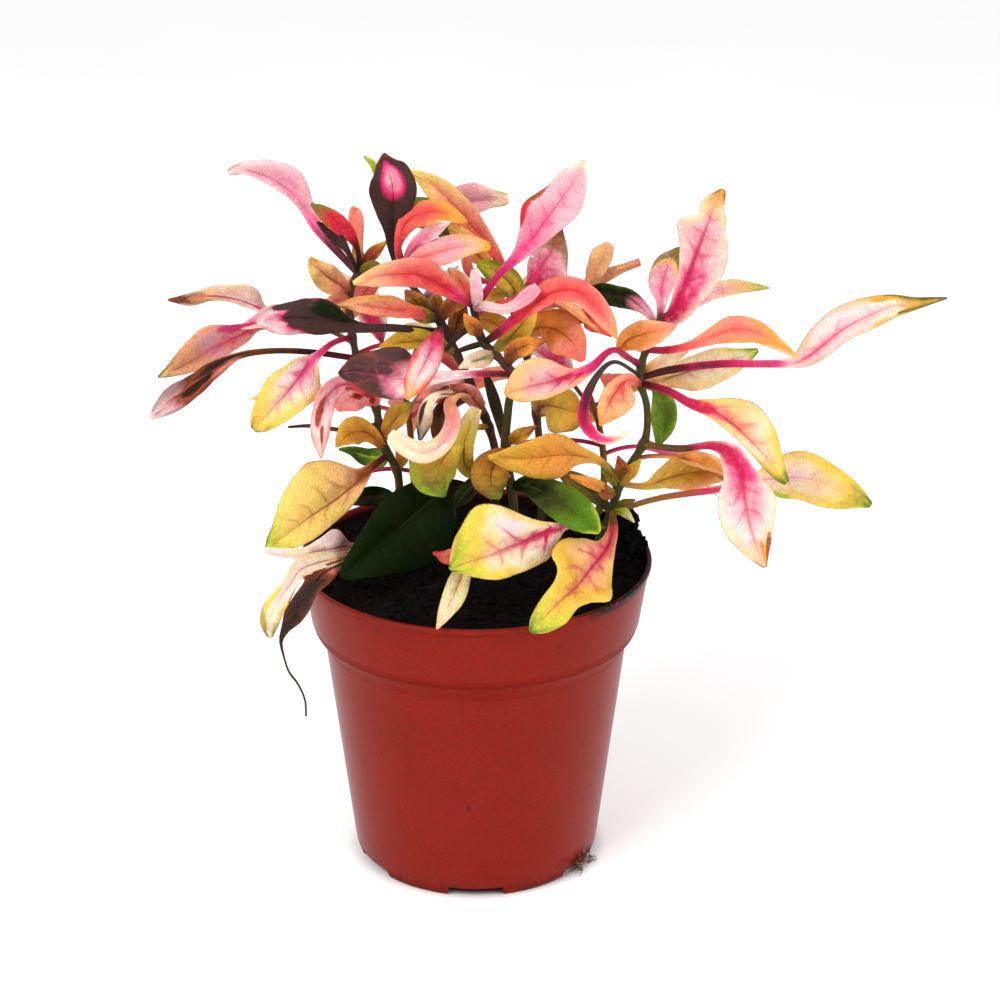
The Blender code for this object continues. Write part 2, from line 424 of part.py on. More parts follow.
                              (692, 371, 18, 15, 21), (720, 363, 20, 15, 18), (741, 357, 21, 9, 11),
                              (758, 350, 22, 2, 2)], 40),
        Leaf("droop_peach", [(641, 384, -2, 3, 3), (668, 391, -12, 4, 4), (690, 403, -18, 5, 5),
                             (708, 410, -22, 12, 6), (722, 417, -24, 22, 8), (736, 427, -27, 30, 9),
                             (753, 443, -30, 27, 9), (768, 460, -33, 17, 9), (780, 475, -35, 8, 7),
                             (787, 483, -36, 3, 3)], 20),
        Leaf("pink_droop", [(643, 444, -2, 3, 3), (680, 449, -16, 4, 3), (712, 446, -30, 5, 4),
                            (731, 453, -38, 10, 14), (741, 475, -42, 16, 18),
                            (745, 500, -44, 31, 28), (750, 525, -46, 25, 27),
                            (757, 548, -47, 15, 16), (765, 567, -48, 2, 2)], 0),
        Leaf("ochre_right", [(622, 486, -1, 3, 3), (645, 486, 6, 4, 4), (663, 480, 8, 12, 9),
                             (683, 474, 10, 21, 17), (704, 472, 10, 20, 15), (722, 473, 10, 12, 9),
                             (732, 474, 10, 3, 3)], 30),
        Leaf("yellow_far_right", [(614, 512, 0, 3, 3), (660, 498, -2, 3, 3), (720, 489, -4, 4, 4),
                                  (752, 482, -4, 6, 6), (778, 478, -5, 21, 20),
                                  (802, 478, -6, 27, 22), (828, 484, -8, 20, 24),
                                  (852, 494, -10, 12, 17), (871, 505, -11, 3, 3)], 25),
        Leaf("olive_below", [(610, 512, 0, 3, 3), (599, 499, 8, 7, 7), (585, 487, 11, 12, 10),
                             (570, 478, 12, 9, 8), (556, 471, 12, 1, 1)], 0),
        Leaf("cream_fill", [(643, 376, -2, 3, 3), (655, 365, 8, 6, 7), (672, 357, 10, 6, 7),
                            (689, 351, 11, 1, 1)], 0),
        Leaf("green_hanging", [(642, 384, -2, 3, 3), (656, 388, 8, 5, 6), (664, 405, 8, 12, 13),
                               (664, 426, 6, 11, 13), (657, 448, 4, 1, 1)], 0),
        Leaf("peach_mid", [(641, 386, -2, 3, 3), (629, 379, -12, 8, 6), (617, 390, -16, 22, 11),
                           (607, 408, -20, 18, 10), (600, 426, -22, 1, 1)], 10),
        Leaf("s_crescent", [(640, 376, -2, 3, 3), (616, 362, -22, 4, 4), (600, 372, -28, 4, 4),
                            (586, 398, -33, 5, 5), (584, 421, -36, 6, 6), (598, 437, -38, 5, 6),
                            (616, 438, -39, 4, 5), (633, 430, -40, 1, 1)], 0, wave=0.3),
        Leaf("pale_peach", [(643, 368, -1, 3, 3), (614, 350, -18, 3, 3), (592, 367, -27, 5, 5),
                            (573, 374, -32, 12, 6), (554, 380, -36, 15, 22),
                            (535, 385, -40, 16, 27), (517, 390, -43, 13, 18),
                            (505, 394, -45, 3, 3)], 20),
        Leaf("ochre_left", [(620, 482, -1, 3, 3), (601, 462, -12, 4, 4), (580, 456, -18, 9, 10),
                            (558, 455, -23, 24, 22), (533, 458, -28, 21, 18),
                            (508, 459, -31, 11, 11), (488, 457, -33, 2, 2)], 25),
        Leaf("orange_lobe", [(614, 494, 0, 3, 3), (594, 484, -14, 6, 6), (570, 476, -18, 2, 2)],
             10),
        Leaf("yellow_front", [(605, 526, 1, 3, 3), (584, 527, -14, 3, 3), (566, 526, -30, 4, 4),
                              (555, 529, -36, 12, 7), (540, 534, -40, 26, 16),
                              (515, 545, -45, 28, 44), (490, 555, -50, 26, 50),
                              (468, 562, -54, 16, 32), (455, 567, -56, 6, 12),
                              (450, 569, -57, 2, 2)], 5),
        Leaf("ochre_lobed", [(613, 511, 0, 3, 3), (613, 530, -18, 5, 6), (608, 546, -27, 8, 12),
                             (601, 556, -32, 16, 29), (592, 567, -39, 25, 42),
                             (583, 579, -45, 35, 40), (576, 587, -48, 22, 28),
                             (566, 596, -53, 17, 19), (552, 609, -60, 20, 15),
                             (538, 624, -65, 13, 10), (531, 632, -67, 3, 3)], 0),
        Leaf("bract", [(613, 509, 0, 3, 3), (624, 512, -6, 5, 5), (634, 522, -10, 1, 1)], 0),
        Leaf("node_left", [(618, 488, -1, 3, 3), (609, 472, -6, 7, 6), (600, 457, -8, 1, 1)], 0),
        Leaf("node_right", [(620, 486, -1, 3, 3), (631, 471, -8, 6, 7), (641, 459, -12, 1, 1)],
             0),
        Leaf("node_low", [(617, 494, -1, 3, 3), (606, 492, -8, 8, 7), (596, 484, -11, 1, 1)], 0),
        Leaf("node_brown", [(622, 482, -1, 3, 3), (622, 470, -8, 8, 8), (618, 456, -10, 1, 1)], 0),
        Leaf("node_point", [(614, 508, 0, 3, 3), (624, 503, -6, 4, 4), (635, 500, -8, 1, 1)], 0),
    ],
}


def clear_scene():
    """Remove what the file opened with."""
    for item in list(bpy.data.objects):
        bpy.data.objects.remove(item, do_unlink=True)


def picture_spot(px, py, y):
    """The place in metres that shows at pixel (px, py) and lies y mm behind the pot's axis."""
    right = (px - PICTURE_MIDDLE) / FOCAL_PIXELS
    up = (PICTURE_MIDDLE - py) / FOCAL_PIXELS
    ray = VIEW_AHEAD + Vector((right, 0.0, 0.0)) + VIEW_UP * up
    reach = (y - VIEW_EYE.y) / ray.y
    spot = VIEW_EYE + ray * reach
    return (spot + Vector((POT_X, POT_Y, 0.0))) * MM


def spline(points, samples=SPLINE_SAMPLES):
    """Rows of numbers along a smooth curve through the given rows."""
    first = [2 * a - b for a, b in zip(points[0], points[1])]
    last = [2 * a - b for a, b in zip(points[-1], points[-2])]
    knots = [first, *points, last]
    curve = []
    for i in range(1, len(knots) - 2):
        for step in range(samples):
            t = step / samples
            curve.append([
                0.5 * (2 * b + (c - a) * t + (2 * a - 5 * b + 4 * c - d) * t ** 2
                       + (3 * b - a - 3 * c + d) * t ** 3)
                for a, b, c, d in zip(*knots[i - 1:i + 3])
            ])
    curve.append(list(points[-1]))
    return curve


def stem_curve(stem):
    """The picture points along a stem's core."""
    return [Vector(p) for p in spline(STEMS[stem].points)]


def root_on(stem, px, py):
    """The picture point of a stem's core nearest to a pixel."""
    return min(stem_curve(stem), key=lambda p: (p.x - px) ** 2 + (p.y - py) ** 2)


def picture_stations(stem, leaf):
    """Rib, left edge and right edge of a leaf drawn in the picture, as places in metres.

    A stretch narrower than STALK_PIXELS, a stalk, has stations at its own points only.
    """
    px, py = leaf.points[0][:2]
    root = (*root_on(stem, px, py), *leaf.points[0][3:])
    curve = spline([root] + leaf.points[1:], SECTIONS_PER_POINT)
    stations = []
    for i, (px, py, y, left, right) in enumerate(curve):
        if i % SECTIONS_PER_POINT and left + right < STALK_PIXELS:
            continue
        before = curve[max(i - 1, 0)]
        after = curve[min(i + 1, len(curve) - 1)]
        ahead = Vector((after[0] - before[0], after[1] - before[1])).normalized()
        share = i / (len(curve) - 1)
        edges = []
        for sign, half in ((-1, left), (1, right)):
            half = max(half, TIP_PIXELS)
            wide = min(1.0, half / WIDE_PIXELS)
            slope = math.tan(math.radians(FOLD + sign * leaf.roll) * wide)
            ripple = leaf.wave * wide * math.sin(WAVES * math.tau * share + sign)
            near = half / PIXELS_PER_MM * slope + ripple
            edges.append(picture_spot(px - sign * ahead.y * half, py + sign * ahead.x * half,
                                      y - near))
        stations.append((picture_spot(px, py, y), *edges))
    return stations


def leaf_section(stations, i):
    """Six points round a leaf at one station: left, rib and right, on the face and the back."""
    rib, left, right = stations[i]
    ahead = stations[min(i + 1, len(stations) - 1)][0] - stations[max(i - 1, 0)][0]
    face = (right - left).cross(ahead).normalized()
    half = (right - left).length / 2
    swell = min(1.0, max(0.0, half / MM - PETIOLE_RADIUS) / PETIOLE_RADIUS)
    rib_radius = min(half / MM, PETIOLE_RADIUS) * (1 - swell) + RIB_THICKNESS / 2 * swell
    edge = face * BLADE_THICKNESS / 2 * MM
    ridge = face * rib_radius * MM
    return [left + edge, rib + ridge, right + edge, right - edge, rib - ridge, left - edge]


def leaf_mesh(stations):
    """A leaf as one closed body, lofted through its sections and split into triangles."""
    rings = [leaf_section(stations, i) for i in range(len(stations))]
    verts = [point for ring in rings for point in ring]
    size = len(rings[0])
    last = len(verts) - size
    faces = list(FOOT_CAP)
    for low in range(0, last, size):
        faces += [tuple(low + i for i in face) for face in LOFT_FACES]
    faces += [tuple(last + i for i in reversed(face)) for face in FOOT_CAP]
    return verts, faces


def back_stations(stem, leaf, tilt):
    """Stations of a leaf that the picture hides: it grows out at a compass turn and droops."""
    curve = stem_curve(stem)
    root = picture_spot(*curve[round(leaf.share * (len(curve) - 1))])
    turn = math.radians(leaf.turn)
    out = Vector((math.sin(turn), math.cos(turn), 0.0))
    side = Vector((out.y, -out.x, 0.0))
    stations = []
    for i in range(BACK_STATIONS + 1):
        s = i / BACK_STATIONS
        climb = Vector((0, 0, leaf.rise * s - leaf.droop * s * s))
        rib = root + (out * s + climb) * leaf.length * MM
        blade = max(0.0, (s - BACK_PETIOLE) / (1 - BACK_PETIOLE))
        half = BACK_WIDTH / 2 * math.sin(math.pi * blade ** 0.8) ** 1.2
        half = max(half, PETIOLE_RADIUS if s < 0.5 else TIP_PIXELS / PIXELS_PER_MM)
        wide = min(1.0, half / BACK_WIDTH * 4)
        ripple = math.sin(WAVES * math.tau * s + tilt)
        lift = [wide * (FOLD_LIFT * half + sign * (tilt * half + ripple)) for sign in (-1, 1)]
        edges = [rib + (side * sign * half + Vector((0, 0, z))) * MM
                 for sign, z in zip((-1, 1), lift)]
        stations.append((rib, *edges))
    return stations


def all_leaves(stem):
    """Name and stations of each leaf of a stem: those of the picture, then those at the back."""
    leaves = [(leaf.name, picture_stations(stem, leaf)) for leaf in LEAVES.get(stem, [])]
    draw = random.Random(BACK_SEED + sorted(STEMS).index(stem))
    for i, leaf in enumerate(BACK_LEAVES[stem]):
        tilt = draw.uniform(-BACK_TILT, BACK_TILT)
        leaves.append((f"back_{i}", back_stations(stem, leaf, tilt)))
    return leaves


def new_object(name, verts, faces, collection):
    """A mesh object from points and faces."""
    mesh = bpy.data.meshes.new(name)
    mesh.from_pydata(verts, [], faces)
    item = bpy.data.objects.new(name, mesh)
    collection.objects.link(item)
    return item


def evaluated_mesh(item):
    """The mesh of an object with its modifiers, doubled points welded and faces outward."""
    depsgraph = bpy.context.evaluated_depsgraph_get()
    mesh = bpy.data.meshes.new_from_object(item.evaluated_get(depsgraph))
    shape = bmesh.new()
    shape.from_mesh(mesh)
    bmesh.ops.remove_doubles(shape, verts=shape.verts, dist=WELD * MM)
    bmesh.ops.recalc_face_normals(shape, faces=shape.faces)
    shape.to_mesh(mesh)
    shape.free()
    return mesh


def tube(name, places, radii, collection):
    """A round tube through places in metres, as a closed mesh object."""
    curve = bpy.data.curves.new(name, "CURVE")
    curve.dimensions = "3D"
    curve.bevel_depth = 1.0
    curve.bevel_resolution = 1
    curve.use_fill_caps = True
    line = curve.splines.new("POLY")
    line.points.add(len(places) - 1)
    for point, place, radius in zip(line.points, places, radii):
        point.co = (*place, 1.0)
        point.radius = radius * MM
    guide = bpy.data.objects.new(name, curve)
    collection.objects.link(guide)
    bpy.context.view_layer.update()
    solid = bpy.data.objects.new(name, evaluated_mesh(guide))
    bpy.data.objects.remove(guide, do_unlink=True)
    collection.objects.link(solid)
    return solid


def apply_boolean(base, parts, operation, solver):
    """Apply one Boolean of a collection to an object, and remove the collection's objects."""
    boolean = base.modifiers.new("boolean", "BOOLEAN")
    boolean.operand_type = "COLLECTION"
    boolean.collection = parts
    boolean.operation = operation
    boolean.solver = solver
    bpy.context.view_layer.update()
    base.data = evaluated_mesh(base)
    base.modifiers.clear()
    for item in list(parts.objects):
        bpy.data.objects.remove(item, do_unlink=True)


def keep_largest_body(item):
    """Drop every loose piece and closed hollow of a mesh but its largest body."""
    shape = bmesh.new()
    shape.from_mesh(item.data)
    left = set(shape.verts)
    bodies = []
    while left:
        body = {left.pop()}
        edge = set(body)
        while edge:
            edge = {e.other_vert(v) for v in edge for e in v.link_edges} - body
            body |= edge
        left -= body
        bodies.append(body)
    bodies.sort(key=len)
    loose = [vert for body in bodies[:-1] for vert in body]
    bmesh.ops.delete(shape, geom=loose, context="VERTS")
    shape.to_mesh(item.data)
    shape.free()


def soil_height(x, y):
    """Height of the soil in millimetres, x and y from the pot's axis."""
    inward = 1 - (x * x + y * y) / COLLAR_FOOT_RADIUS ** 2
    place = Vector((x, y, 3.0))
    lumps = sum(height * noise.noise(place * waves) for waves, height in SOIL_LUMPS)
    aside, behind = (x - HEAP_PLACE[0]) / HEAP_SPREAD[0], (y - HEAP_PLACE[1]) / HEAP_SPREAD[1]
    heap = HEAP_HEIGHT * math.exp(-aside * aside - behind * behind)
    return SOIL_LEVEL + SOIL_MOUND * inward + lumps + heap


def stem_foot(branch):
    """Where a stem leaves the soil, as x and y in millimetres from the pot's axis."""
    place = picture_spot(*branch.points[0]) / MM - POT_AXIS
    return place.x, place.y


def stem_places(branch):
    """The tube's places: straight out of its hole, then along the branch's curve."""
    x, y = stem_foot(branch)
    top = soil_height(x, y)
    foot = [(POT_AXIS + Vector((x, y, z))) * MM
            for z in (top - STEM_HOLE_DEPTH + HOLE_GAP, top + STEM_RISE)]
    curve = [picture_spot(*p) for p in spline(branch.points)][::STEM_STRIDE]
    return foot + [place for place in curve if place.z > foot[-1].z + STEM_RISE * MM]


def make_stem(name, collection, parts):
    """One leafy stem: its tubes and leaves joined into one body."""
    branch = STEMS[name]
    places = stem_places(branch)
    shares = [i / (len(places) - 1) for i in range(len(places))]
    radii = [branch.radius + (branch.tip_radius - branch.radius) * s for s in shares]
    stem = tube(name, places, radii, parts)
    for leaf_name, stations in all_leaves(name):
        new_object(leaf_name, *leaf_mesh(stations), parts)
    parts.objects.unlink(stem)
    collection.objects.link(stem)
    stem.name = name
    apply_boolean(stem, parts, "UNION", "MANIFOLD")
    keep_largest_body(stem)
    return stem


def turned(name, profile, steps, collection):
    """A profile of (radius, height) points in millimetres turned about the pot's axis."""
    count = len(profile)
    edges = [(i, (i + 1) % count) for i in range(count)]
    mesh = bpy.data.meshes.new(name)
    mesh.from_pydata([(r * MM, 0.0, z * MM) for r, z in profile], edges, [])
    item = bpy.data.objects.new(name, mesh)
    item.location = POT_AXIS * MM
    collection.objects.link(item)
    screw = item.modifiers.new("turn", "SCREW")
    screw.steps = steps
    screw.render_steps = steps
    screw.use_merge_vertices = True
    screw.merge_threshold = WELD * MM
    bpy.context.view_layer.update()
    return item


def wall_radius(height):
    """Outer radius of the pot's body below the collar."""
    share = height / (POT_HEIGHT - COLLAR_HEIGHT - COLLAR_SLANT)
    return FOOT_RADIUS + (BODY_TOP_RADIUS - FOOT_RADIUS) * share


def pot_profile():
    """The pot's section, outer side first, from the rim down and back up inside."""
    step = POT_HEIGHT - COLLAR_HEIGHT
    floor = FOOT_RING_HEIGHT
    return [
        (RIM_RADIUS, POT_HEIGHT - 0.3),
        (RIM_RADIUS, POT_HEIGHT - LIP_HEIGHT),
        (RIM_RADIUS - 1.0, POT_HEIGHT - LIP_HEIGHT - 0.8),
        (COLLAR_FOOT_RADIUS, step),
        (COLLAR_FOOT_RADIUS - 0.6, step - 2.0),
        (BODY_TOP_RADIUS + 1.0, step - 5.6),
        (BODY_TOP_RADIUS, step - COLLAR_SLANT),
        (wall_radius(3.5), 3.5),
        (FOOT_RADIUS - 0.4, 1.2),
        (FOOT_RADIUS - 1.2, 0.0),
        (FOOT_RADIUS - 2.4, 0.0),
        (FOOT_RADIUS - 2.6, floor - 0.4),
        (FOOT_RADIUS - 3.2, floor),
        (DRAIN_RADIUS, floor),
        (DRAIN_RADIUS, floor + POT_WALL),
        (FOOT_RADIUS - 3.0, floor + POT_WALL),
        (wall_radius(8.0) - POT_WALL, 8.0),
        (BODY_TOP_RADIUS - POT_WALL, step - COLLAR_SLANT + 0.4),
        (BODY_TOP_RADIUS - POT_WALL + 1.0, step - 4.6),
        (COLLAR_FOOT_RADIUS - POT_WALL - 0.6, step - 1.0),
        (COLLAR_FOOT_RADIUS - POT_WALL, step + 0.8),
        (RIM_RADIUS - POT_WALL - 1.0, POT_HEIGHT - LIP_HEIGHT),
        (RIM_RADIUS - POT_WALL - 0.4, POT_HEIGHT),
        (RIM_RADIUS - 0.3, POT_HEIGHT),
    ]


def cutter_box(name, size, place, turn, collection):
    """A box cutter of a size in millimetres, turned about the pot's axis."""
    bpy.ops.mesh.primitive_cube_add(size=1.0)
    box = bpy.context.object
    box.name = name
    box.data.transform(Matrix.Diagonal((*(Vector(size) * MM), 1.0)))
    box.data.transform(Matrix.Translation(Vector(place) * MM))
    box.matrix_world = Matrix.Translation(POT_AXIS * MM) @ Matrix.Rotation(turn, 4, "Z")
    move_to(box, collection)
    return box


def cutter_drill(name, x, y, low, high, radius, collection):
    """A round cutter that stands at x, y from the pot's axis, in millimetres."""
    bpy.ops.mesh.primitive_cylinder_add(vertices=DRILL_SIDES, radius=radius * MM,
                                        depth=(high - low) * MM)
    drill = bpy.context.object
    drill.name = name
    drill.location = (POT_AXIS + Vector((x, y, (low + high) / 2))) * MM
    move_to(drill, collection)
    return drill


def move_to(item, collection):
    """Link an object to one collection only, as a cutter."""
    for home in list(item.users_collection):
        home.objects.unlink(item)
    collection.objects.link(item)
    item.hide_render = True
    item.display_type = "WIRE"
    bpy.context.view_layer.update()


def drain_spots():
    """The floor's drain holes, one behind each foot notch, in millimetres from the axis."""
    turns = [math.tau * i / FOOT_NOTCHES for i in range(FOOT_NOTCHES)]
    return [(math.sin(t) * DRAIN_CIRCLE, -math.cos(t) * DRAIN_CIRCLE) for t in turns]


def make_pot(collection, cutters):
    """The pot, with the notches of its foot ring and the drain holes of its floor."""
    pot = turned("pot", pot_profile(), POT_STEPS, collection)
    for i in range(FOOT_NOTCHES // 2):
        size = (NOTCH_WIDTH, RIM_RADIUS * 2, NOTCH_HEIGHT * 2)
        cutter_box("notch", size, (0, 0, 0), math.tau * i / FOOT_NOTCHES, cutters)
    for x, y in drain_spots():
        cutter_drill("drain", x, y, FOOT_RING_HEIGHT - 1, FOOT_RING_HEIGHT + POT_WALL + 1,
                     DRAIN_RADIUS, cutters)
    apply_boolean(pot, cutters, "DIFFERENCE", "EXACT")
    return pot


def make_soil(collection, cutters):
    """The soil: a turned block under an uneven top, with a plain hole for each stem."""
    step = POT_HEIGHT - COLLAR_HEIGHT
    inner = POT_WALL + SOIL_GAP
    rings = [COLLAR_FOOT_RADIUS * i / SOIL_RINGS for i in range(1, SOIL_RINGS)]
    rim = COLLAR_FOOT_RADIUS - inner + (SOIL_LEVEL - step) * COLLAR_SLOPE
    profile = [(0.0, SOIL_LEVEL)] + [(r, SOIL_LEVEL) for r in rings] + [
        (rim - 0.4, SOIL_LEVEL),
        (COLLAR_FOOT_RADIUS - inner, step + 1.2),
        (COLLAR_FOOT_RADIUS - inner - 0.7, step - 0.8),
        (BODY_TOP_RADIUS - inner + 0.9, step - 4.4),
        (BODY_TOP_RADIUS - inner, step - COLLAR_SLANT + 0.8),
        (wall_radius(9.0) - inner, 9.0),
        (FOOT_RADIUS - 3.8, FOOT_RING_HEIGHT + POT_WALL + SOIL_GAP),
        (0.0, FOOT_RING_HEIGHT + POT_WALL + SOIL_GAP),
    ]
    soil = turned("soil", profile, SOIL_STEPS, collection)
    soil.data = evaluated_mesh(soil)
    soil.modifiers.clear()
    for vert in soil.data.vertices:
        if vert.co.z > (SOIL_LEVEL - 0.1) * MM:
            vert.co.z = soil_height(vert.co.x / MM, vert.co.y / MM) * MM
    for branch in STEMS.values():
        x, y = stem_foot(branch)
        top = soil_height(x, y)
        cutter_drill("stem_hole", x, y, top - STEM_HOLE_DEPTH, top + STEM_HOLE_DEPTH,
                     branch.radius + HOLE_GAP, cutters)
    apply_boolean(soil, cutters, "DIFFERENCE", "EXACT")
    return soil


def make_roots(collection, parts):
    """Roots that come down a drain hole and out of its foot notch, joined into one wisp."""
    out = math.tau * ROOT_NOTCH / FOOT_NOTCHES
    turn = Matrix.Rotation(out, 3, "Z")
    bodies = []
    for strand in ROOT_STRANDS:
        places = [(POT_AXIS + turn @ Vector((x, -r, z))) * MM for x, r, z in strand]
        radii = [ROOT_RADIUS] * (len(places) - 1) + [ROOT_RADIUS * 0.6]
        bodies.append(tube("drain_roots", places, radii, parts))
    roots = bodies[0]
    parts.objects.unlink(roots)
    collection.objects.link(roots)
    roots.name = "drain_roots"
    apply_boolean(roots, parts, "UNION", "MANIFOLD")
    keep_largest_body(roots)
    return roots


def give_material(item, name, colour, roughness):
    """A plain Principled material in a sub-part's colour, and smooth shading."""
    material = bpy.data.materials.new(name)
    material.use_nodes = True
    shader = material.node_tree.nodes["Principled BSDF"]
    shader.inputs["Base Color"].default_value = (*colour, 1.0)
    shader.inputs["Roughness"].default_value = roughness
    shader.inputs["Metallic"].default_value = 0.0
    item.data.materials.clear()
    item.data.materials.append(material)
    item.data.shade_smooth()
    item.data.set_sharp_from_angle(angle=math.radians(SHARP_ANGLE))


def main():
    """Build the potted plant."""
    clear_scene()
    plant = bpy.data.collections.new("potted_alternanthera")
    cutters = bpy.data.collections.new("cutters")
    parts = bpy.data.collections.new("parts")
    for collection in (plant, cutters, parts):
        bpy.context.scene.collection.children.link(collection)
    give_material(make_pot(plant, cutters), "pot_plastic", POT_COLOUR, 0.45)
    give_material(make_soil(plant, cutters), "peat", SOIL_COLOUR, 0.95)
    give_material(make_roots(plant, parts), "roots", ROOT_COLOUR, 0.8)
    for name, colour in STEM_COLOURS.items():
        give_material(make_stem(name, plant, parts), name, colour, 0.5)


main()
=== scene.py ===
"""Potted alternanthera, dressed: veined leaves, stalks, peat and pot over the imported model.

Lengths are millimetres unless a name says otherwise. Stems and leaves are placed by the picture,
as in the part: a point is a pixel (px, py) of the 1000 pixel wide photograph, and y, how many
millimetres it lies behind the pot's axis.
"""
import json
import math
import random
from collections import namedtuple

import bmesh
import bpy
import numpy as np
from mathutils import Matrix, Vector, noise

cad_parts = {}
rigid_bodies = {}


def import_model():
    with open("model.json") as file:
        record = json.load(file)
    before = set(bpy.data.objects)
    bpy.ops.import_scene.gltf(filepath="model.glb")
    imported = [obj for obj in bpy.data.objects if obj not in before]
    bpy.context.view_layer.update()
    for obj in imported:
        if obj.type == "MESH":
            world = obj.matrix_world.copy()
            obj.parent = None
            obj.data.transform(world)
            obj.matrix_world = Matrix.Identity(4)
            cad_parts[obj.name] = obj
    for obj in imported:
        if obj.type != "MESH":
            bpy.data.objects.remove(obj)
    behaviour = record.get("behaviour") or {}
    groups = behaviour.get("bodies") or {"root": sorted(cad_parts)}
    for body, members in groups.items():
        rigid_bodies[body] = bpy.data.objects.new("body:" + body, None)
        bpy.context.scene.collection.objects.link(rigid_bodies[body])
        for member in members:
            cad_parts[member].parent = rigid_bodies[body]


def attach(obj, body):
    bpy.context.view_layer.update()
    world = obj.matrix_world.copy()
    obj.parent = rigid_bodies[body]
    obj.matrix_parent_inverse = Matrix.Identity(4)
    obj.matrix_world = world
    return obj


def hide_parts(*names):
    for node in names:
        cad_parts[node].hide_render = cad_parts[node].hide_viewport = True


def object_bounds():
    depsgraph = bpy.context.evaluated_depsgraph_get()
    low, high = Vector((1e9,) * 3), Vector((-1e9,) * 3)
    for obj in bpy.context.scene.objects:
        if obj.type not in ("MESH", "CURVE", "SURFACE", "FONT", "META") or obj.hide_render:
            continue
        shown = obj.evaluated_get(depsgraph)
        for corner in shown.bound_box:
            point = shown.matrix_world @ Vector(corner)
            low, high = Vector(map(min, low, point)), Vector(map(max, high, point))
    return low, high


MM = 0.001
DRESSING = "dressing"
CUTTERS = "cutters"

# The pot. Radii are to the outside.
POT_AXIS = Vector((-24.6, -12.0, 0.0))
POT_HEIGHT = 110.0
RIM_RADIUS = 60.6
COLLAR_FOOT_RADIUS = 56.4
COLLAR_HEIGHT = 22.0
COLLAR_SLANT = 7.5
BODY_TOP_RADIUS = 52.2
FOOT_RADIUS = 42.1
POT_WALL = 1.2
LIP_HEIGHT = 1.6
POT_CORNER = 0.45
CORNER_SHARE = 0.45  # the most of an edge that one corner's arc takes
FOOT_RING_HEIGHT = 4.0
FOOT_NOTCHES = 6
NOTCH_WIDTH = 19.0
NOTCH_HEIGHT = 3.4
DRAIN_RADIUS = 3.5
DRAIN_CIRCLE = 33.5
POT_STEPS = 256
DRAIN_STEPS = 32
TURN_MERGE = 0.00001  # metres
MERGE = 0.000002  # metres
POT_SQUEEZES = ((0.0012, 2, 0.6), (0.0006, 5, 0.0))  # share, lobes and phase
SHARP_DEGREES = 38
POT_STEP_SHARE = 0.791  # where the collar steps out, as a share of the height

# The soil: its mound, lumps as (waves, height), the heap at the rim and the clods on it.
SOIL_LEVEL = 106.0
SOIL_MOUND = 1.5
SOIL_LUMPS = ((0.16, 1.6), (0.4, 0.9))
SOIL_GRAINS = ((1.1, 0.45), (2.6, 0.3))
SOIL_NOISE_LAYER = 3.0
HEAP_PLACE = (47.0, 21.0)
HEAP_SPREAD = (8.0, 14.0)
HEAP_HEIGHT = 9.0
SOIL_GAP = 0.25
SOIL_RINGS = 110
SOIL_TURNS = 300
CRUMBS = 1800
CRUMB_SEED = 11
CRUMB_REACH = 56.0
HEAP_CRUMBS = (6, 11)
CRUMB_SIZES = (0.35, 1.0)
BIG_CRUMB = 1.6
BIG_CRUMB_SHARE = 0.12
CRUMB_SUNK = 0.35
LUMP_STRETCH = (0.6, 1.25)
LUMP_SWELL = 0.45
LUMP_WAVES = 1.7
CLOD_PLACE = (53.5, 20.0)
CLOD_SCATTER = (2.8, 6.0)
CLOD_SPREAD = (5.5, 9.5)
CLOD_HEIGHT = 9.0
CLOD_SIZE = 1.8
CLOD_SUNK = 0.5
CLOD_INSET = 0.8
HEAP_EVERY = 4
CLOD_EVERY = 5

# The roots at the foot's notch: strands of (across, radius, height) points, as in the part.
ROOT_STRANDS = (
    ((0, 33.5, 5.0), (0, 33.8, 2.6), (0.5, 36, 1.5), (0, 40, 1.3), (-1.5, 43, 1.2), (-5, 45, 1.1)),
    ((0, 35, 1.6), (1.0, 40, 1.6), (3.5, 43, 1.5), (8, 44, 1.6)),
    ((0, 34, 2.2), (1.5, 39, 2.0), (2.5, 43, 2.2), (2.0, 46, 3.2)),
    ((0, 34, 2.4), (-1.0, 41, 2.6), (-4, 43.6, 3.8), (-8, 44.0, 5.0), (-11, 43.8, 4.4)),
    ((0, 34, 2.0), (-0.5, 41.5, 2.8), (-3, 44.0, 5.4), (-5.5, 44.4, 7.4)),
    ((0, 34, 2.2), (1.0, 41.5, 2.6), (0.5, 44.0, 5.2), (2.5, 44.6, 7.8)),
)
ROOT_NOTCH = 1
ROOT_SEED = 4
ROOT_COPIES = 5
ROOT_RADII = (0.32, 0.1)
ROOT_CRUMBS = 34
ROOT_CRUMB_ASIDE = (-0.6, 2.0)
ROOT_CRUMB_RADII = (42.0, 44.2)
ROOT_CRUMB_HEIGHTS = (0.8, 4.4)
ROOT_CRUMB_SIZES = (0.4, 0.9)
ROOT_SIDES = 7
ROOT_SAMPLES = 8
ROOT_LOOSE = 0.5
ROOT_LOOSENS = 0.25
ROOT_SLIMS = (0.6, 1.1)
LOWEST_ROOT = 0.35

# The photograph's view, from the pot's outline: millimetres, radians and pixels.
VIEW_TILT = math.radians(22.9)
VIEW_DISTANCE = 1100.0
VIEW_AIM = Vector((8.4, 0.0, 130.8))
FOCAL_PIXELS = 3228.0
PICTURE_WIDTH = 1000.0
PICTURE_MIDDLE = PICTURE_WIDTH / 2
SENSOR_WIDTH = 36.0
VIEW_AHEAD = Vector((0.0, math.cos(VIEW_TILT), -math.sin(VIEW_TILT)))
VIEW_UP = Vector((0.0, math.sin(VIEW_TILT), math.cos(VIEW_TILT)))
VIEW_EYE = VIEW_AIM - VIEW_AHEAD * VIEW_DISTANCE

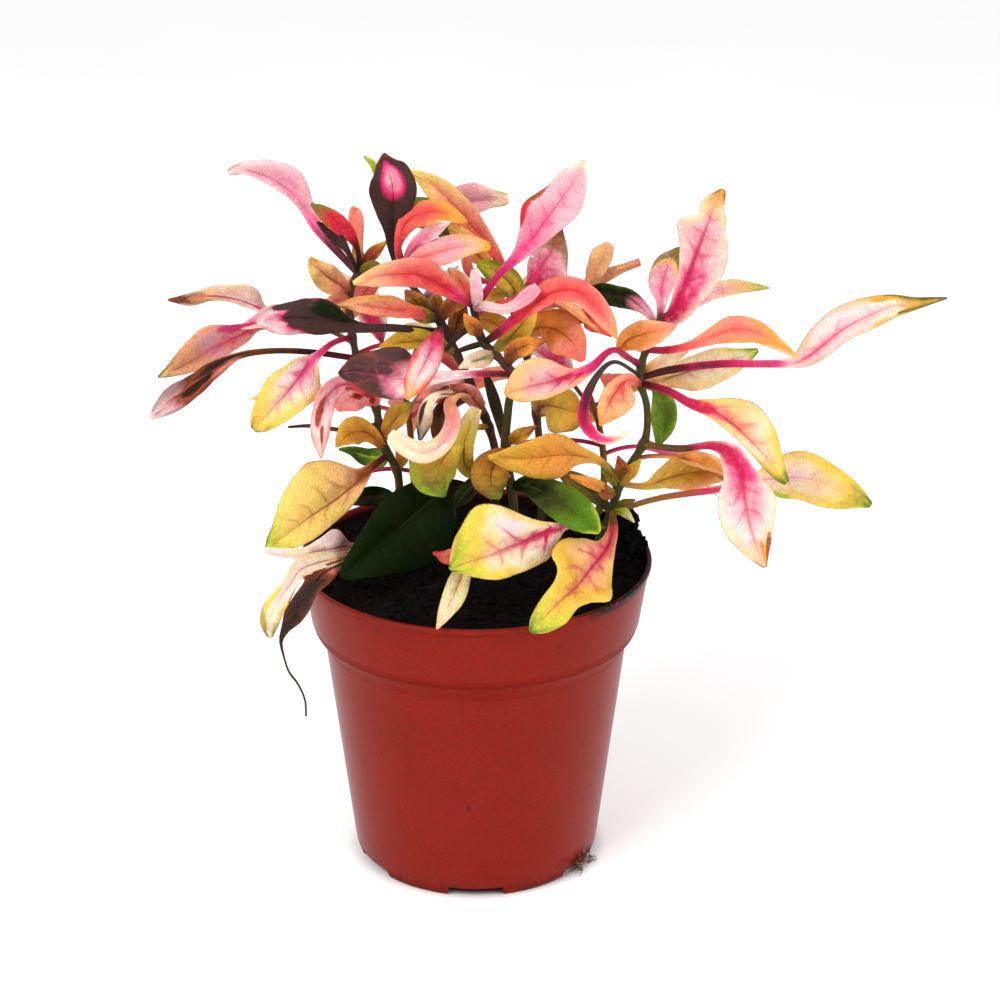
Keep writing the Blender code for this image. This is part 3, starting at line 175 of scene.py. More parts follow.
# The studio, in metres: lamps as (place, size, power, colour), and the floor's own glow.
LAMPS = {
    "key": ((-0.75, -0.9, 1.15), 0.8, 15.8, (1.0, 0.985, 0.96)),
    "fill": ((0.9, -0.8, 0.7), 1.0, 8.5, (0.97, 0.985, 1.0)),
}
LAMP_AIM = (0, 0, 0.12)
WORLD_LIGHT = 0.58
FLOOR_SIZE = 12.0
FLOOR_SHIFT = 2.0
FLOOR_DROP = 0.0002
# Painted shade on the floor under the pot's foot, seen through its notches.
FLOOR_SHADE = (0.036, 0.0405, 0.97, 0.0)  # by metres from the pot's axis, as is the glow
FLOOR_GLOW = (0.0405, 0.047, 0.0, 0.3)
PAPER_WAVES = (6.0, 2.0)
PAPER_SHADES = (0.3, 0.7)
PAPER_ROUGHNESS = 0.9
PAPER_BUMP = 0.0001
PAPER_GLOSS = 0.1

# Leaves. ROWS stations run along a leaf and COLUMNS points across each face, at ACROSS shares of
# the way to an edge.
ROWS = 64
ACROSS = (0.1, 0.26, 0.44, 0.62, 0.8, 0.95, 1.0)
COLUMNS = 2 * len(ACROSS) + 1
BLADE_THICKNESS = 0.36
PETIOLE_RADIUS = 0.75
BLADE_FROM = 1.6
BLADE_OVER = 3.0
FOLD = 14.0
WAVES = 2.0
PIXELS_PER_MM = 2.93
TIP_PIXELS = 0.7
WIDE_PIXELS = 12.0
SPLINE_SAMPLES = 12

# Relief of a leaf: its arch, side veins, midrib's groove and crinkles. Noises are as waves along,
# waves across and how far each leaf's own noise lies from the next one's.
ARCH = 0.10
VEIN_SPACING = 3.2
VEIN_GROWTH = 0.075
VEIN_SLANT = 0.8
VEIN_BOW = 0.018
VEIN_STAGGER = 0.25
VEIN_WANDER = 0.5
VEIN_NOISE = (0.11, 1.6, 3.7)
VEIN_DEPTH = 0.22
VEIN_WIDTH = 0.75
VEIN_FADE_IN = 5
VEIN_FADE_END = 1.05
VEIN_FADE_OUT = 2.5
RIB_DEPTH = 0.35
RIB_WIDTH = 0.8
CRINKLE = 0.45
CRINKLE_NOISE = (0.16, 1.3, 7.3)
CRINKLE_DETAIL = 0.5
CRINKLE_FINER = 2.7
GRAIN = 0.12
EDGE_ROUNDNESS = 8
PETIOLE_SLIMS = 0.6

# The finished colours' map: a leaf's face fills the left half and its back the right half.
MAP_MARGIN = 0.02
MAP_HALF = 0.5
MAP_WIDTH = 0.46
MAP_HEIGHT = 0.96
CAP_ROWS = ((0.005, 0.001), (0.995, -0.001))  # a cap's first row and the step to its next one
CAP_ROW = 5
CAP_START = 0.1
CAP_STEP = 0.003

# Leaves that the picture hides grow out at a compass turn in degrees, from a share of the stem.
BACK_SEED = 7
BACK_WIDTH = 17.0
BACK_TILT = 0.3
BACK_PETIOLE = 0.28
BACK_STATIONS = 60
BACK_LOOK_STEP = 3
BACK_SHAPE = (0.8, 1.2)
BACK_WIDENS = 4
FOLD_LIFT = 0.25

# A leaf's skin. Waves are a noise's waves a metre. Groups of two are the low and high end that a
# change eases over, and groups of four also say what it eases from and to. A bump is in metres,
# and a relief is a share of it.
BROAD_WAVES = 85.0
PATCH_WAVES = 260.0
FINE_WAVES = 1200.0
GLINT_WAVES = 480.0
LEAF_SHIFT = (0.37, 0.11)
BLADE_SPAN = (1.4, 3.5)
BACK_SPAN = (-0.5, 0.5)
RAMP_SWAY = 0.34
RAMP_LATE = 0.13
RAMP_SHIFT = 0.04
MARGIN_FRAY = 1.1
MARGIN_SPAN = (0.45, 1.0)
WASH_SPAN = (0.45, 0.75)
WASH = 0.3
SPOT_SPAN = (0.75, 1.15)
SPOT_FLATNESS = 0.3
SPOT_FRAY = (0.3, 0.06)
FLUSH_ALONG_VEIN = 0.3
FLUSH_FRAY = 0.7
FLUSH_ACROSS = (-0.12, 0.48)
FLUSH_ALONG = (0.42, 0.98)
FLUSH_STRENGTH = 1.5
FLUSH_NEAR_VEIN = (0.2, 1.7)
VEIN_LINE = (0.1, 0.75)
VEIN_ACROSS = (0.15, 0.85)
VEIN_ALONG = (0.75, 1.0, 0.75, 0.2)
NET_CELLS = 620.0
NET_LINE = 0.16
NET_STRENGTH = 0.14
RIB_ENDS = 1.12
RIB_LEAST = 0.08
RIB_SPAN = (0.2, 1.3, 0.85, 0.0)
RIB_ALONG = (0.5, 0.95, 1.0, 0.35)
# Painted highlight: where white glints are painted on a leaf's pale parts, by its blue, speck
# noise and broad noise.
PAINTED_GLINT_BLUE = (0.28, 0.48)
PAINTED_GLINT_SPECK = (0.62, 0.68, 0.0, 0.8)
PAINTED_GLINT_BROAD = (0.42, 0.6)
SHADE_SPAN = (0.3, 0.7, 0.82, 1.08)
LEAF_ROUGHNESS = (0.35, 0.65, 0.36, 0.62)
LEAF_BUMP = 0.00014
FINE_RELIEF = 0.6
VEIN_RELIEF = 1.2
LEAF_GLOW = 0.1
LEAF_GLOW_DEPTH = 0.0015
LEAF_GLOSS = (0.05, 0.13)  # the least, and how much margins with PALE_RED or more red add
PALE_RED = 0.15

# The pot's skin, in the same groups: of noise, shares of its height, metres aside, and how far a
# face is turned. A noise is its waves a metre, its detail, and its roughness if it isn't usual.
POT_BROAD = (38.0, 3.0)
POT_FINE = (1500.0, 3.0)
POT_GRIT = (420.0, 6.0, 0.7)
POT_SHADES = (0.35, 0.65)
MOTTLE_WAVES = (820.0, 2.0)
SPECK_WAVES = (260.0, 2.0)
POT_MOTTLE = (0.4, 0.62, 0.0, 0.55)
POT_GRAIN = (0.35, 0.65, 0.0, 0.6)
DUST_AT_FOOT = (0.0, 0.09, 0.75, 0.0)
DUST_AT_RIM = (0.9, 1.0, 0.0, 0.3)
DUST_SPAN = (0.42, 0.66)
SPECK_SPAN = (0.7, 0.76, 0.0, 0.75)
# Painted shade on the pot's inward-facing walls, by how far a face turns inward and how high it
# lies.
INSIDE_SHADE_TURN = (-0.02, 0.0, 0.94, 0.0)
INSIDE_SHADE_TOP = (0.985, 0.997, 1.0, 0.0)
SMEAR_ASIDE = (0.03, 0.046)
SMEAR_UP = (0.955, 0.985)
SMEAR_SPAN = (0.36, 0.5)
# A dark line of painted shade at the collar's step, by how far a point lies from POT_STEP_SHARE.
STEP_SHADE_SPAN = (0.002, 0.012, 0.4, 0.0)
COAT_TURN = (-0.24, -0.16, 0.3, 1.0)
POT_ROUGHNESS = (0.3, 0.7, 0.48, 0.62)
MOULD_RIDGES = 5200.0
MOULD_RIDGE_RELIEF = 0.12
POT_BUMP = 0.00006
POT_GLOSS = 0.02
COAT_ROUGHNESS = 0.3
COAT_IOR = 1.16

# The skins of stalks, peat and roots, in the same way.
STALK_BROAD = (140.0, 3.0)
STALK_FINE = (1300.0, 4.0)
STALK_RISE = (0.45, 1.0)
STALK_UMBER = (0.45, 0.75, 0.0, 0.45)
STALK_RUST = (0.5, 0.8, 0.0, 0.35)
STALK_ROUGHNESS = (0.3, 0.7, 0.4, 0.62)
STALK_BUMP = 0.0002
STALK_GLOSS = 0.12
PEAT_GRAIN = (520.0, 6.0, 0.7)
PEAT_LUMPS = (120.0, 4.0)
PEAT_FIBRES = (900.0, 2.0)
PEAT_SHADES = (0.4, 0.75)
PEAT_BROWN = (0.55, 0.8, 0.0, 0.5)
FIBRE_SPAN = (0.74, 0.8, 0.0, 0.5)
PEAT_ROUGHNESS = (0.3, 0.7, 0.75, 0.98)
PEAT_BUMP = 0.0009
PEAT_GLOSS = 0.06
ROOT_GRAIN = (900.0, 4.0)
ROOT_PATCHES = (170.0, 2.0)
ROOT_SHADES = (0.35, 0.7)
ROOT_PALE = (0.52, 0.6, 0.0, 0.7)
ROOT_ROUGHNESS = (0.3, 0.7, 0.6, 0.9)
ROOT_BUMP = 0.0002

# Stalks.
STALK_SIDES = 14
STALK_SAMPLES = 14
STALK_FOOT_DEPTH = 8.0
STALK_FOOT_STEPS = (0.0, 0.25, 0.5, 0.75)
STALK_SLIMMER = 0.86
TIP_SLIMMER = 0.95
NODE_SWELL = 0.45
NODE_REACH = 2.2
TUBE_RIDGES = 4
TUBE_RIDGE_DEPTH = 0.05
TUBE_ROUGHNESS = 0.06
TUBE_NOISE = 2.1
TUBE_NOISE_STEP = 0.12
TUBE_SEED_STEP = 9.1
TUBE_GUIDE = (0.31, 0.95, 0.05)  # any way that no tube runs

Branch = namedtuple("Branch", "radius tip_radius points")
Leaf = namedtuple("Leaf", "name roll wave points")
BackLeaf = namedtuple("BackLeaf", "share turn length rise droop")
Look = namedtuple("Look", "ramp margin vein edge glow veins rib spots")
LEAF_WAVE = 1.2
LOOK_SIZES = (0.6, 0.4, 0.5, 0.9)


def table_rows(text):
    """The rows of a table, each as its words before the colon and the text after it."""
    for line in text.strip().replace("\n ", " ").split("\n"):
        head, body = line.split(":")
        yield head.split(), body


def number_rows(text):
    """Groups of numbers with commas between them."""
    return [[float(word) for word in group.split()] for group in text.split(",")]


def read_stems(text):
    """Each stem by its name, from rows of its name, two radii and core points."""
    return {head[0]: Branch(float(head[1]), float(head[2]), number_rows(body))
            for head, body in table_rows(text)}


def read_leaves(text):
    """The leaves of a stem, from rows of a name, roll, wave if it isn't LEAF_WAVE, and points."""
    return [Leaf(name, float(roll), float(wave[0]) if wave else LEAF_WAVE, number_rows(body))
            for (name, roll, *wave), body in table_rows(text)]


def read_looks(text):
    """Each look by its name, from rows of ramp; margin, vein and sizes; and spots if any."""
    looks = {}
    for (name,), body in table_rows(text):
        ramp, skin, *spots = body.split(";")
        margin, vein, *sizes = skin.split()
        sizes = (*map(float, sizes), *LOOK_SIZES[len(sizes):])
        spots = [spot.split() for spot in "".join(spots).split(",") if spot]
        spots = [(colour, *map(float, place)) for colour, *place in spots]
        looks[name] = Look(ramp, margin, vein, *sizes, spots)
    return looks


# Each stem: its name, its radius in millimetres at the two ends, and its core's (px, py, y).
STEMS = read_stems("""
stem_left 1.7 1.0: 393 556 3, 398 520 2, 398 475 0, 383 444 -2, 375 404 -4, 358 362 -5,
 350 320 -3, 350 292 0, 362 264 4
stem_upper_left 1.8 1.1: 490 545 6, 495 500 6, 495 450 5, 480 405 3, 462 365 2, 440 322 2,
 415 290 4, 397 262 6
stem_centre 1.8 1.1: 516 558 -4, 513 500 -5, 506 450 -6, 508 410 -7, 512 376 -8, 499 358 -8,
 484 343 -7, 477 326 -6, 474 306 -5
stem_top 1.7 1.0: 541 530 26, 542 480 26, 537 420 24, 527 360 20, 514 310 16, 504 275 14
stem_right 1.8 1.0: 590 560 2, 600 538 2, 612 512 0, 617 490 -1, 630 465 -2, 645 440 -2,
 647 408 -2, 640 378 -2, 646 350 0, 664 314 4
stem_back_left 1.6 1.0: 420 528 28, 414 480 30, 410 430 32, 404 385 33
stem_back_right 1.6 1.0: 595 528 32, 604 480 35, 600 430 38, 588 390 38
""")

# Each leaf: its name, its roll, its wave if it isn't LEAF_WAVE, and its points from its root to
# its tip, each (px, py, y, left, right). left and right are the blade's half widths there, in
# pixels as the picture shows them. roll, in degrees, turns the blade's right edge to the viewer;
# wave is how far its edges swing, in millimetres.
LEAVES = {
    "stem_left": read_leaves("""
pale_top 40: 358 274 2 3 3, 340 254 4 4 4, 318 228 8 6 6, 302 205 12 5 12, 288 189 16 7 21,
 268 177 19 7 18, 249 171 22 5 10, 235 171 24 4 6, 228 173 24 2 3
red_green_tip 25: 358 268 2 3 3, 357 248 -2 3 3, 348 232 -6 8 7, 334 220 -8 10 9, 320 210 -9 6 6,
 311 204 -9 1 1
orange_fold 30: 361 266 3 3 3, 361 245 8 2 2, 358 228 10 8 6, 355 214 12 7 7, 352 207 12 2 2
apex_left 10: 361 266 3 3 3, 358 254 8 6 6, 354 240 10 1 1
apex_right 10: 362 266 3 3 3, 374 253 2 7 6, 387 241 0 1 1
apex_low 10: 359 270 3 3 3, 372 265 -2 5 7, 385 269 -6 1 1
orange_up -10: 350 292 0 3 3, 341 285 -5 12 8, 328 277 -9 15 13, 317 267 -12 10 8, 310 258 -13 2 2
orange_low 20: 350 296 0 3 3, 336 301 -8 6 8, 319 306 -14 1 1
pale_brown_tip 45: 350 302 0 3 3, 310 313 10 3 3, 268 310 14 3 3, 250 303 14 6 16, 230 297 14 5 14,
 210 296 14 5 9, 190 299 13 7 6, 168 300 12 1 1
big_pink 35: 350 318 -3 3 3, 305 330 4 3 3, 262 326 0 4 4, 240 335 -4 11 12, 215 347 -6 14 23,
 190 362 -8 11 17, 172 371 -10 6 8, 158 377 -10 1 1
rolled_brown 50: 357 360 -5 3 3, 310 352 -12 3 3, 270 351 -18 3 3, 238 356 -20 4 4,
 215 370 -20 8 9, 195 384 -20 11 10, 178 397 -19 12 15, 161 411 -18 7 10, 151 418 -18 2 3
pale_magenta 10: 352 336 -4 3 3, 333 343 -14 3 3, 316 357 -22 5 5, 307 367 -25 17 14,
 299 377 -28 27 18, 288 391 -31 24 24, 273 408 -34 19 20, 259 424 -36 11 11, 254 430 -36 4 4
dry_point 0: 380 425 -3 3 3, 345 430 -14 2 2, 312 426 -18 2 2, 288 427 -20 1 1
rust_curl 30 2.4: 375 404 -4 3 3, 362 390 -18 5 7, 345 384 -25 9 9, 329 394 -29 11 10,
 322 412 -31 11 10, 320 436 -32 9 9, 321 458 -32 1 1
big_yellow 5: 388 455 -2 3 3, 371 468 -10 4 5, 362 478 -15 7 14, 350 488 -19 13 36,
 335 500 -23 17 46, 317 512 -28 20 42, 299 525 -33 20 31, 283 537 -36 15 17, 271 546 -38 7 8,
 266 549 -38 2 2
withered 0 2: 396 540 2 3 3, 365 550 -16 3 3, 338 558 -32 6 6, 317 563 -42 9 11, 300 570 -49 8 10,
 291 583 -53 7 8, 281 597 -55 10 10, 273 610 -57 11 11, 270 624 -58 9 10, 270 637 -58 3 3
withered_thread 0: 396 544 2 3 3, 358 558 -20 3 3, 336 566 -34 8 8, 321 575 -41 12 11,
 310 589 -46 9 9, 301 603 -49 11 10, 293 617 -52 10 10, 286 628 -54 5 5, 281 641 -56 2 2,
 284 657 -56 1 1, 289 672 -56 1 1, 298 684 -56 1 1, 305 700 -56 1 1, 306 716 -56 1 1
ochre_small 10: 386 450 -2 3 3, 370 434 -8 9 9, 354 432 -14 13 16, 342 440 -17 7 8, 336 447 -18 1 1
ochre_folded 20: 382 442 -2 3 3, 390 426 -5 9 8, 400 414 -8 12 10, 414 402 -11 1 1
green_small 20: 388 454 -2 3 3, 380 457 4 11 9, 366 456 7 10 8, 352 451 9 5 5, 339 449 10 1 1
dark_small 10: 356 272 2 3 3, 348 252 -4 3 3, 338 238 -5 7 6, 326 228 -6 5 4, 317 222 -6 1 1
rust_flap 0 1.6: 376 406 -4 3 3, 372 394 -10 10 10, 360 393 -15 15 14, 347 400 -19 14 12,
 337 410 -21 3 3
dark_low 0: 398 506 2 3 3, 386 497 9 8 8, 370 496 11 11 10, 354 500 12 6 6, 344 504 12 1 1
olive_by_stem 0: 397 470 0 3 3, 402 458 7 7 7, 403 445 8 7 7, 400 433 9 1 1
withered_wing 0 2.4: 396 538 2 3 3, 364 544 -10 3 3, 350 546 -20 4 4, 340 547 -27 11 18,
 325 550 -34 16 14, 305 553 -41 7 6, 284 553 -45 5 5, 265 550 -47 3 3
"""),
    "stem_upper_left": read_leaves("""
lollipop 0: 399 266 5 6 6, 394 245 0 7 7, 393 232 -3 9 9, 393 213 -6 17 17, 393 192 -8 24 24,
 390 175 -10 20 21, 386 164 -11 11 13, 384 154 -12 2 2
green_point 0: 401 268 5 3 3, 388 215 8 2 2, 376 170 12 4 4, 364 156 13 1 1
coral_orange 40: 402 270 5 3 3, 398 246 -5 4 4, 407 222 -8 9 11, 425 212 -11 12 14,
 446 213 -14 10 11, 467 222 -16 2 2
magenta_strip 20: 402 272 5 3 3, 411 250 -10 5 5, 425 237 -14 8 7, 438 228 -17 8 6, 450 222 -18 1 1
salmon 25: 406 276 5 3 3, 418 260 -13 9 12, 443 251 -18 14 14, 468 246 -22 12 10, 490 246 -25 4 4
orange_side 10: 406 278 5 3 3, 414 264 -8 8 7, 426 252 -10 7 6, 440 246 -11 1 1
peach_veins 30: 438 318 2 3 3, 415 313 -12 6 7, 385 308 -17 9 13, 358 305 -20 7 9, 338 305 -22 1 1
dark_pink_tip 25: 446 330 2 3 3, 395 328 -14 4 4, 365 328 -20 5 5, 345 325 -23 8 10,
 325 320 -25 15 20, 305 318 -28 16 19, 285 318 -30 17 15, 268 320 -32 12 11, 257 323 -33 3 3
pink_hanging 15: 441 325 2 3 3, 438 335 -26 6 6, 431 350 -42 13 12, 422 368 -52 15 14,
 413 386 -56 11 10, 407 400 -58 1 1
yellow_behind 20: 457 354 2 3 3, 430 342 -4 6 10, 405 342 -6 8 13, 380 347 -8 2 2
olive_left 15: 434 314 2 3 3, 424 309 -3 9 10, 413 298 -5 10 8, 405 290 -5 1 1
olive_right 15: 440 322 2 3 3, 448 308 2 8 8, 460 301 3 9 8, 471 298 4 1 1
pinkish_small 10: 422 299 4 3 3, 442 280 2 6 7, 459 266 4 1 1
cream_crescent 0 .4: 478 400 3 3 3, 462 394 -14 3 3, 450 403 -20 6 6, 453 419 -24 8 8,
 448 436 -28 9 9, 437 448 -31 10 10, 422 453 -33 11 11, 407 447 -34 10 10, 396 438 -35 9 8,
 390 433 -35 4 4
spotted 0 .4: 476 398 3 3 3, 442 394 -22 3 3, 428 404 -26 6 6, 424 422 -30 8 8, 420 440 -34 2 2
two_lobed 0: 488 425 4 3 3, 472 428 -8 4 4, 459 438 -13 9 9, 447 453 -17 14 17, 439 468 -20 18 29,
 438 482 -22 15 24, 444 497 -24 2 2
brown_curl 0: 479 403 3 3 3, 466 397 8 6 6, 452 401 10 9 9, 441 414 11 9 9, 437 430 11 7 7,
 434 441 11 1 1
pale_under 0: 469 380 2 3 3, 456 385 8 5 5, 440 390 9 9 9, 425 396 9 7 7, 413 402 9 1 1
brown_upper 0: 450 341 2 3 3, 455 330 7 8 8, 459 318 8 10 10, 463 307 8 5 5, 466 300 8 1 1
rust_upper 0: 440 322 2 3 3, 438 310 7 6 6, 435 299 8 7 7, 431 291 8 1 1
dark_green_low 10: 495 484 6 3 3, 476 484 -6 8 8, 462 497 -12 8 8, 454 508 -14 2 2
pinkish_brown 20: 484 414 3 3 3, 470 395 -8 9 10, 450 386 -12 2 2
big_dark 20: 495 495 6 3 3, 455 487 0 8 8, 430 502 -10 40 26, 405 523 -18 50 32, 380 544 -26 38 24,
 358 562 -33 20 14, 346 573 -37 10 8, 341 577 -38 3 3
olive_low 10: 438 319 2 3 3, 428 317 -6 7 7, 416 312 -9 8 7, 404 308 -10 1 1
pale_strip 0: 494 466 6 3 3, 480 474 -8 6 6, 466 466 -12 9 9, 464 446 -14 10 10, 470 424 -16 10 9,
 477 408 -17 6 5
"""),
    "stem_centre": read_leaves("""
coral_under 35: 474 306 -5 3 3, 460 298 -18 5 6, 442 286 -24 10 12, 420 275 -28 13 18,
 395 274 -32 13 14, 372 278 -35 9 9, 353 283 -36 2 2
round_dark 20: 514 374 -8 3 3, 470 374 -28 4 4, 432 377 -37 8 8, 405 379 -43 20 30,
 380 376 -47 21 29, 358 372 -50 14 19, 345 373 -52 8 9, 339 374 -53 2 2
big_pink_up 10: 475 310 -6 3 3, 486 292 -8 4 4, 501 272 -9 4 4, 517 256 -9 6 7, 533 238 -10 17 12,
 546 220 -11 28 18, 563 197 -12 19 22, 575 180 -13 16 13, 584 161 -14 3 3
crescent_left 0 .6: 474 308 -5 3 3, 477 298 -16 6 6, 476 286 -18 6 6, 475 274 -19 5 5,
 474 269 -19 3 3
crescent_right 0 .6: 475 310 -5 3 3, 484 306 -15 5 5, 494 308 -20 5 5, 505 309 -22 5 5,
 517 304 -24 6 6, 528 296 -26 8 7, 538 287 -27 5 5
coral_arch 40: 484 344 -7 3 3, 498 333 -14 5 5, 514 319 -18 5 6, 532 305 -22 9 9,
 552 293 -26 14 11, 575 290 -30 13 12, 594 304 -34 12 11, 607 322 -37 9 8, 617 339 -38 1 1
orange_brown 20: 511 362 -8 3 3, 514 352 -14 10 9, 528 345 -18 9 9, 547 340 -20 1 1
yellow_mid 10: 492 352 -7 3 3, 505 342 -9 8 9, 517 330 -10 13 14, 529 316 -10 10 9, 536 306 -10 1 1
cream_triangle 10: 494 355 -7 3 3, 484 358 -12 9 9, 472 362 -14 7 8, 459 368 -15 1 1
pale_green_small 10: 507 442 -6 3 3, 520 436 -10 8 7, 536 426 -14 1 1
orange_brown_low 0: 508 460 -6 3 3, 501 457 -12 8 10, 493 467 -15 19 19, 491 479 -18 20 20,
 495 491 -20 12 12, 500 499 -21 2 2
green_front 20: 511 486 -5 3 3, 528 486 -13 12 9, 545 493 -20 16 15, 561 503 -28 20 18,
 577 514 -36 19 17, 590 524 -40 13 12, 599 532 -43 3 3
pale_pointed 0: 515 530 -4 3 3, 490 548 -26 3 3, 468 562 -38 5 5, 461 578 -45 10 11,
 453 597 -53 12 11, 444 615 -60 7 7, 437 629 -64 1 1
red_bit 10: 515 540 -4 3 3, 475 547 -30 3 3, 450 557 -36 8 8, 433 553 -38 1 1
stalk_c 0 .2: 507 446 -6 3 3, 500 422 -2 5 5, 494 400 -3 6 6, 488 381 -3 4 4, 485 373 -3 1 1
coral_behind 0: 475 302 -5 3 3, 469 292 -8 5 5, 461 282 -9 8 8, 454 274 -9 6 6, 448 268 -9 1 1
brown_triangle 0: 479 336 -6 3 3, 476 329 -12 9 8, 469 321 -14 6 6, 464 314 -15 1 1
stalk_a 0 .2: 477 326 -6 3 3, 467 330 -12 3 3, 455 339 -14 3 3, 446 350 -14 2 2
stalk_b 0 .2: 484 344 -7 3 3, 470 347 -12 3 3, 455 352 -14 2 2
"""),
    "stem_top": read_leaves("""
peach_top 20: 507 285 14 3 3, 498 260 17 4 6, 483 239 18 10 10, 466 219 18 15 14, 449 200 18 16 14,
 431 184 18 11 10, 411 171 18 2 2
pale_wing -20 .6: 508 290 14 3 3, 474 238 27 2 2, 454 212 29 5 5, 458 203 30 15 9,
 474 201 31 18 13, 492 200 32 11 8, 503 199 33 7 7, 508 198 33 5 5
pink_olive_tip 10: 513 305 16 3 3, 532 285 13 7 8, 542 266 12 15 27, 553 249 11 12 17,
 561 229 10 2 2
red_behind 0: 520 332 16 3 3, 570 322 8 3 3, 584 316 6 9 11, 600 322 3 11 13, 612 336 0 2 2
peach_twisted -10: 515 313 16 3 3, 560 300 19 3 3, 588 284 20 6 6, 595 270 20 9 10,
 603 256 20 12 10, 610 244 20 5 5
orange_red_large 20: 523 342 17 3 3, 538 328 4 12 10, 556 330 0 22 20, 572 342 -5 16 20,
 583 361 -9 3 3
orange_yellow_behind 10: 536 415 24 3 3, 545 406 11 17 20, 561 408 6 21 26, 576 413 2 14 19,
 588 415 0 3 3
yellow_green_edge 10: 512 303 16 3 3, 514 290 6 9 11, 504 277 5 13 13, 489 268 4 10 9,
 477 264 4 3 3
yellow_under 10: 523 346 19 3 3, 511 334 11 7 7, 497 325 8 11 11, 484 319 7 8 8, 473 315 6 1 1
gold_under 0: 508 292 15 3 3, 499 294 9 7 7, 488 296 8 6 6, 479 300 7 1 1
gold_lobe 0: 505 280 14 3 3, 488 264 14 6 6, 474 251 13 11 10, 461 237 12 11 10, 449 226 11 2 2
coral_narrow 0: 504 279 14 3 3, 484 281 12 3 3, 470 272 11 5 5, 466 258 10 5 5, 465 244 10 2 2
peach_strip 0 .4: 515 314 16 3 3, 560 303 22 3 3, 590 287 25 4 4, 606 275 24 6 7, 622 268 23 4 5,
 640 262 22 4 4
"""),
    "stem_right": read_leaves("""
big_upright 15: 662 320 3 3 3, 672 312 -1 5 15, 682 293 -3 9 22, 690 272 -4 12 31,
 698 250 -5 20 31, 704 234 -6 28 26, 707 226 -7 24 20, 710 219 -7 12 17, 713 208 -7 13 12,
 719 198 -8 9 7, 723 190 -9 3 3
pale_olive_tip 0: 660 324 3 3 3, 661 302 10 5 6, 662 285 13 14 12, 668 266 16 14 12,
 676 253 18 6 6, 681 247 19 1 1
pale_wing_right 45: 664 316 3 3 3, 693 303 14 4 6, 712 293 15 8 7, 732 287 16 8 8, 750 287 17 5 5,
 769 288 18 1 1
dark_green 35: 659 327 3 3 3, 645 309 12 6 5, 627 297 14 12 9, 605 292 16 13 9, 592 290 17 9 5,
 583 288 18 1 1
orange_under 30: 644 364 -1 3 3, 622 353 -12 4 4, 628 340 -16 11 14, 645 334 -20 14 16,
 663 329 -22 8 10, 677 325 -23 1 1
coral_arch_right 40: 646 350 0 3 3, 668 350 -12 4 4, 690 346 -16 5 4, 712 337 -20 9 8,
 733 330 -23 14 13, 755 332 -26 12 11, 777 344 -30 7 6, 801 360 -33 1 1
long_right 30: 640 378 -2 3 3, 670 370 -4 4 4, 720 364 -5 4 4, 785 364 -6 5 4, 803 360 -6 12 8,
 822 346 -6 20 12, 842 330 -5 22 12, 864 318 -4 20 14, 890 307 -3 13 12, 915 303 -1 6 7,
 935 300 0 3 3, 947 298 0 1 1
cream_behind 40: 641 384 -2 3 3, 655 381 12 4 4, 672 377 16 10 12, 692 371 18 15 21,
 720 363 20 15 18, 741 357 21 9 11, 758 350 22 2 2
droop_peach 20: 641 384 -2 3 3, 668 391 -12 4 4, 690 403 -18 5 5, 708 410 -22 12 6,
 722 417 -24 22 8, 736 427 -27 30 9, 753 443 -30 27 9, 768 460 -33 17 9, 780 475 -35 8 7,
 787 483 -36 3 3
pink_droop 0: 643 444 -2 3 3, 680 449 -16 4 3, 712 446 -30 5 4, 731 453 -38 10 14,
 741 475 -42 16 18, 745 500 -44 31 28, 750 525 -46 25 27, 757 548 -47 15 16, 765 567 -48 2 2
ochre_right 30: 622 486 -1 3 3, 645 486 6 4 4, 663 480 8 12 9, 683 474 10 21 17, 704 472 10 20 15,
 722 473 10 12 9, 732 474 10 3 3
yellow_far_right 25: 614 512 0 3 3, 660 498 -2 3 3, 720 489 -4 4 4, 752 482 -4 6 6,
 778 478 -5 21 20, 802 478 -6 27 22, 828 484 -8 20 24, 852 494 -10 12 17, 871 505 -11 3 3
olive_below 0: 610 512 0 3 3, 599 499 8 7 7, 585 487 11 12 10, 570 478 12 9 8, 556 471 12 1 1
cream_fill 0: 643 376 -2 3 3, 655 365 8 6 7, 672 357 10 6 7, 689 351 11 1 1
green_hanging 0: 642 384 -2 3 3, 656 388 8 5 6, 664 405 8 12 13, 664 426 6 11 13, 657 448 4 1 1
peach_mid 10: 641 386 -2 3 3, 629 379 -12 8 6, 617 390 -16 22 11, 607 408 -20 18 10,
 600 426 -22 1 1
s_crescent 0 .3: 640 376 -2 2 2, 616 362 -22 2 2, 600 372 -28 3 3, 586 398 -33 5 5,
 584 421 -36 6 6, 598 437 -38 5 6, 616 438 -39 4 5, 633 430 -40 1 1
pale_peach 20: 643 368 -1 3 3, 614 350 -18 3 3, 592 367 -27 5 5, 573 374 -32 12 6,
 554 380 -36 15 22, 535 385 -40 16 27, 517 390 -43 13 18, 505 394 -45 3 3
ochre_left 25: 620 482 -1 3 3, 601 462 -12 4 4, 580 456 -18 9 10, 558 455 -23 24 22,
 533 458 -28 21 18, 508 459 -31 11 11, 488 457 -33 2 2
orange_lobe 10: 614 494 0 3 3, 594 484 -14 6 6, 570 476 -18 2 2
yellow_front 5: 605 526 1 3 3, 584 527 -14 3 3, 566 526 -30 4 4, 555 529 -36 12 7,
 540 534 -40 26 16, 515 545 -45 28 44, 490 555 -50 26 50, 468 562 -54 16 32, 455 567 -56 6 12,
 450 569 -57 2 2
ochre_lobed 0: 613 511 0 3 3, 613 530 -18 5 6, 608 546 -27 8 12, 601 556 -32 16 29,
 592 567 -39 25 42, 583 579 -45 35 40, 576 587 -48 22 28, 566 596 -53 17 19, 552 609 -60 20 15,
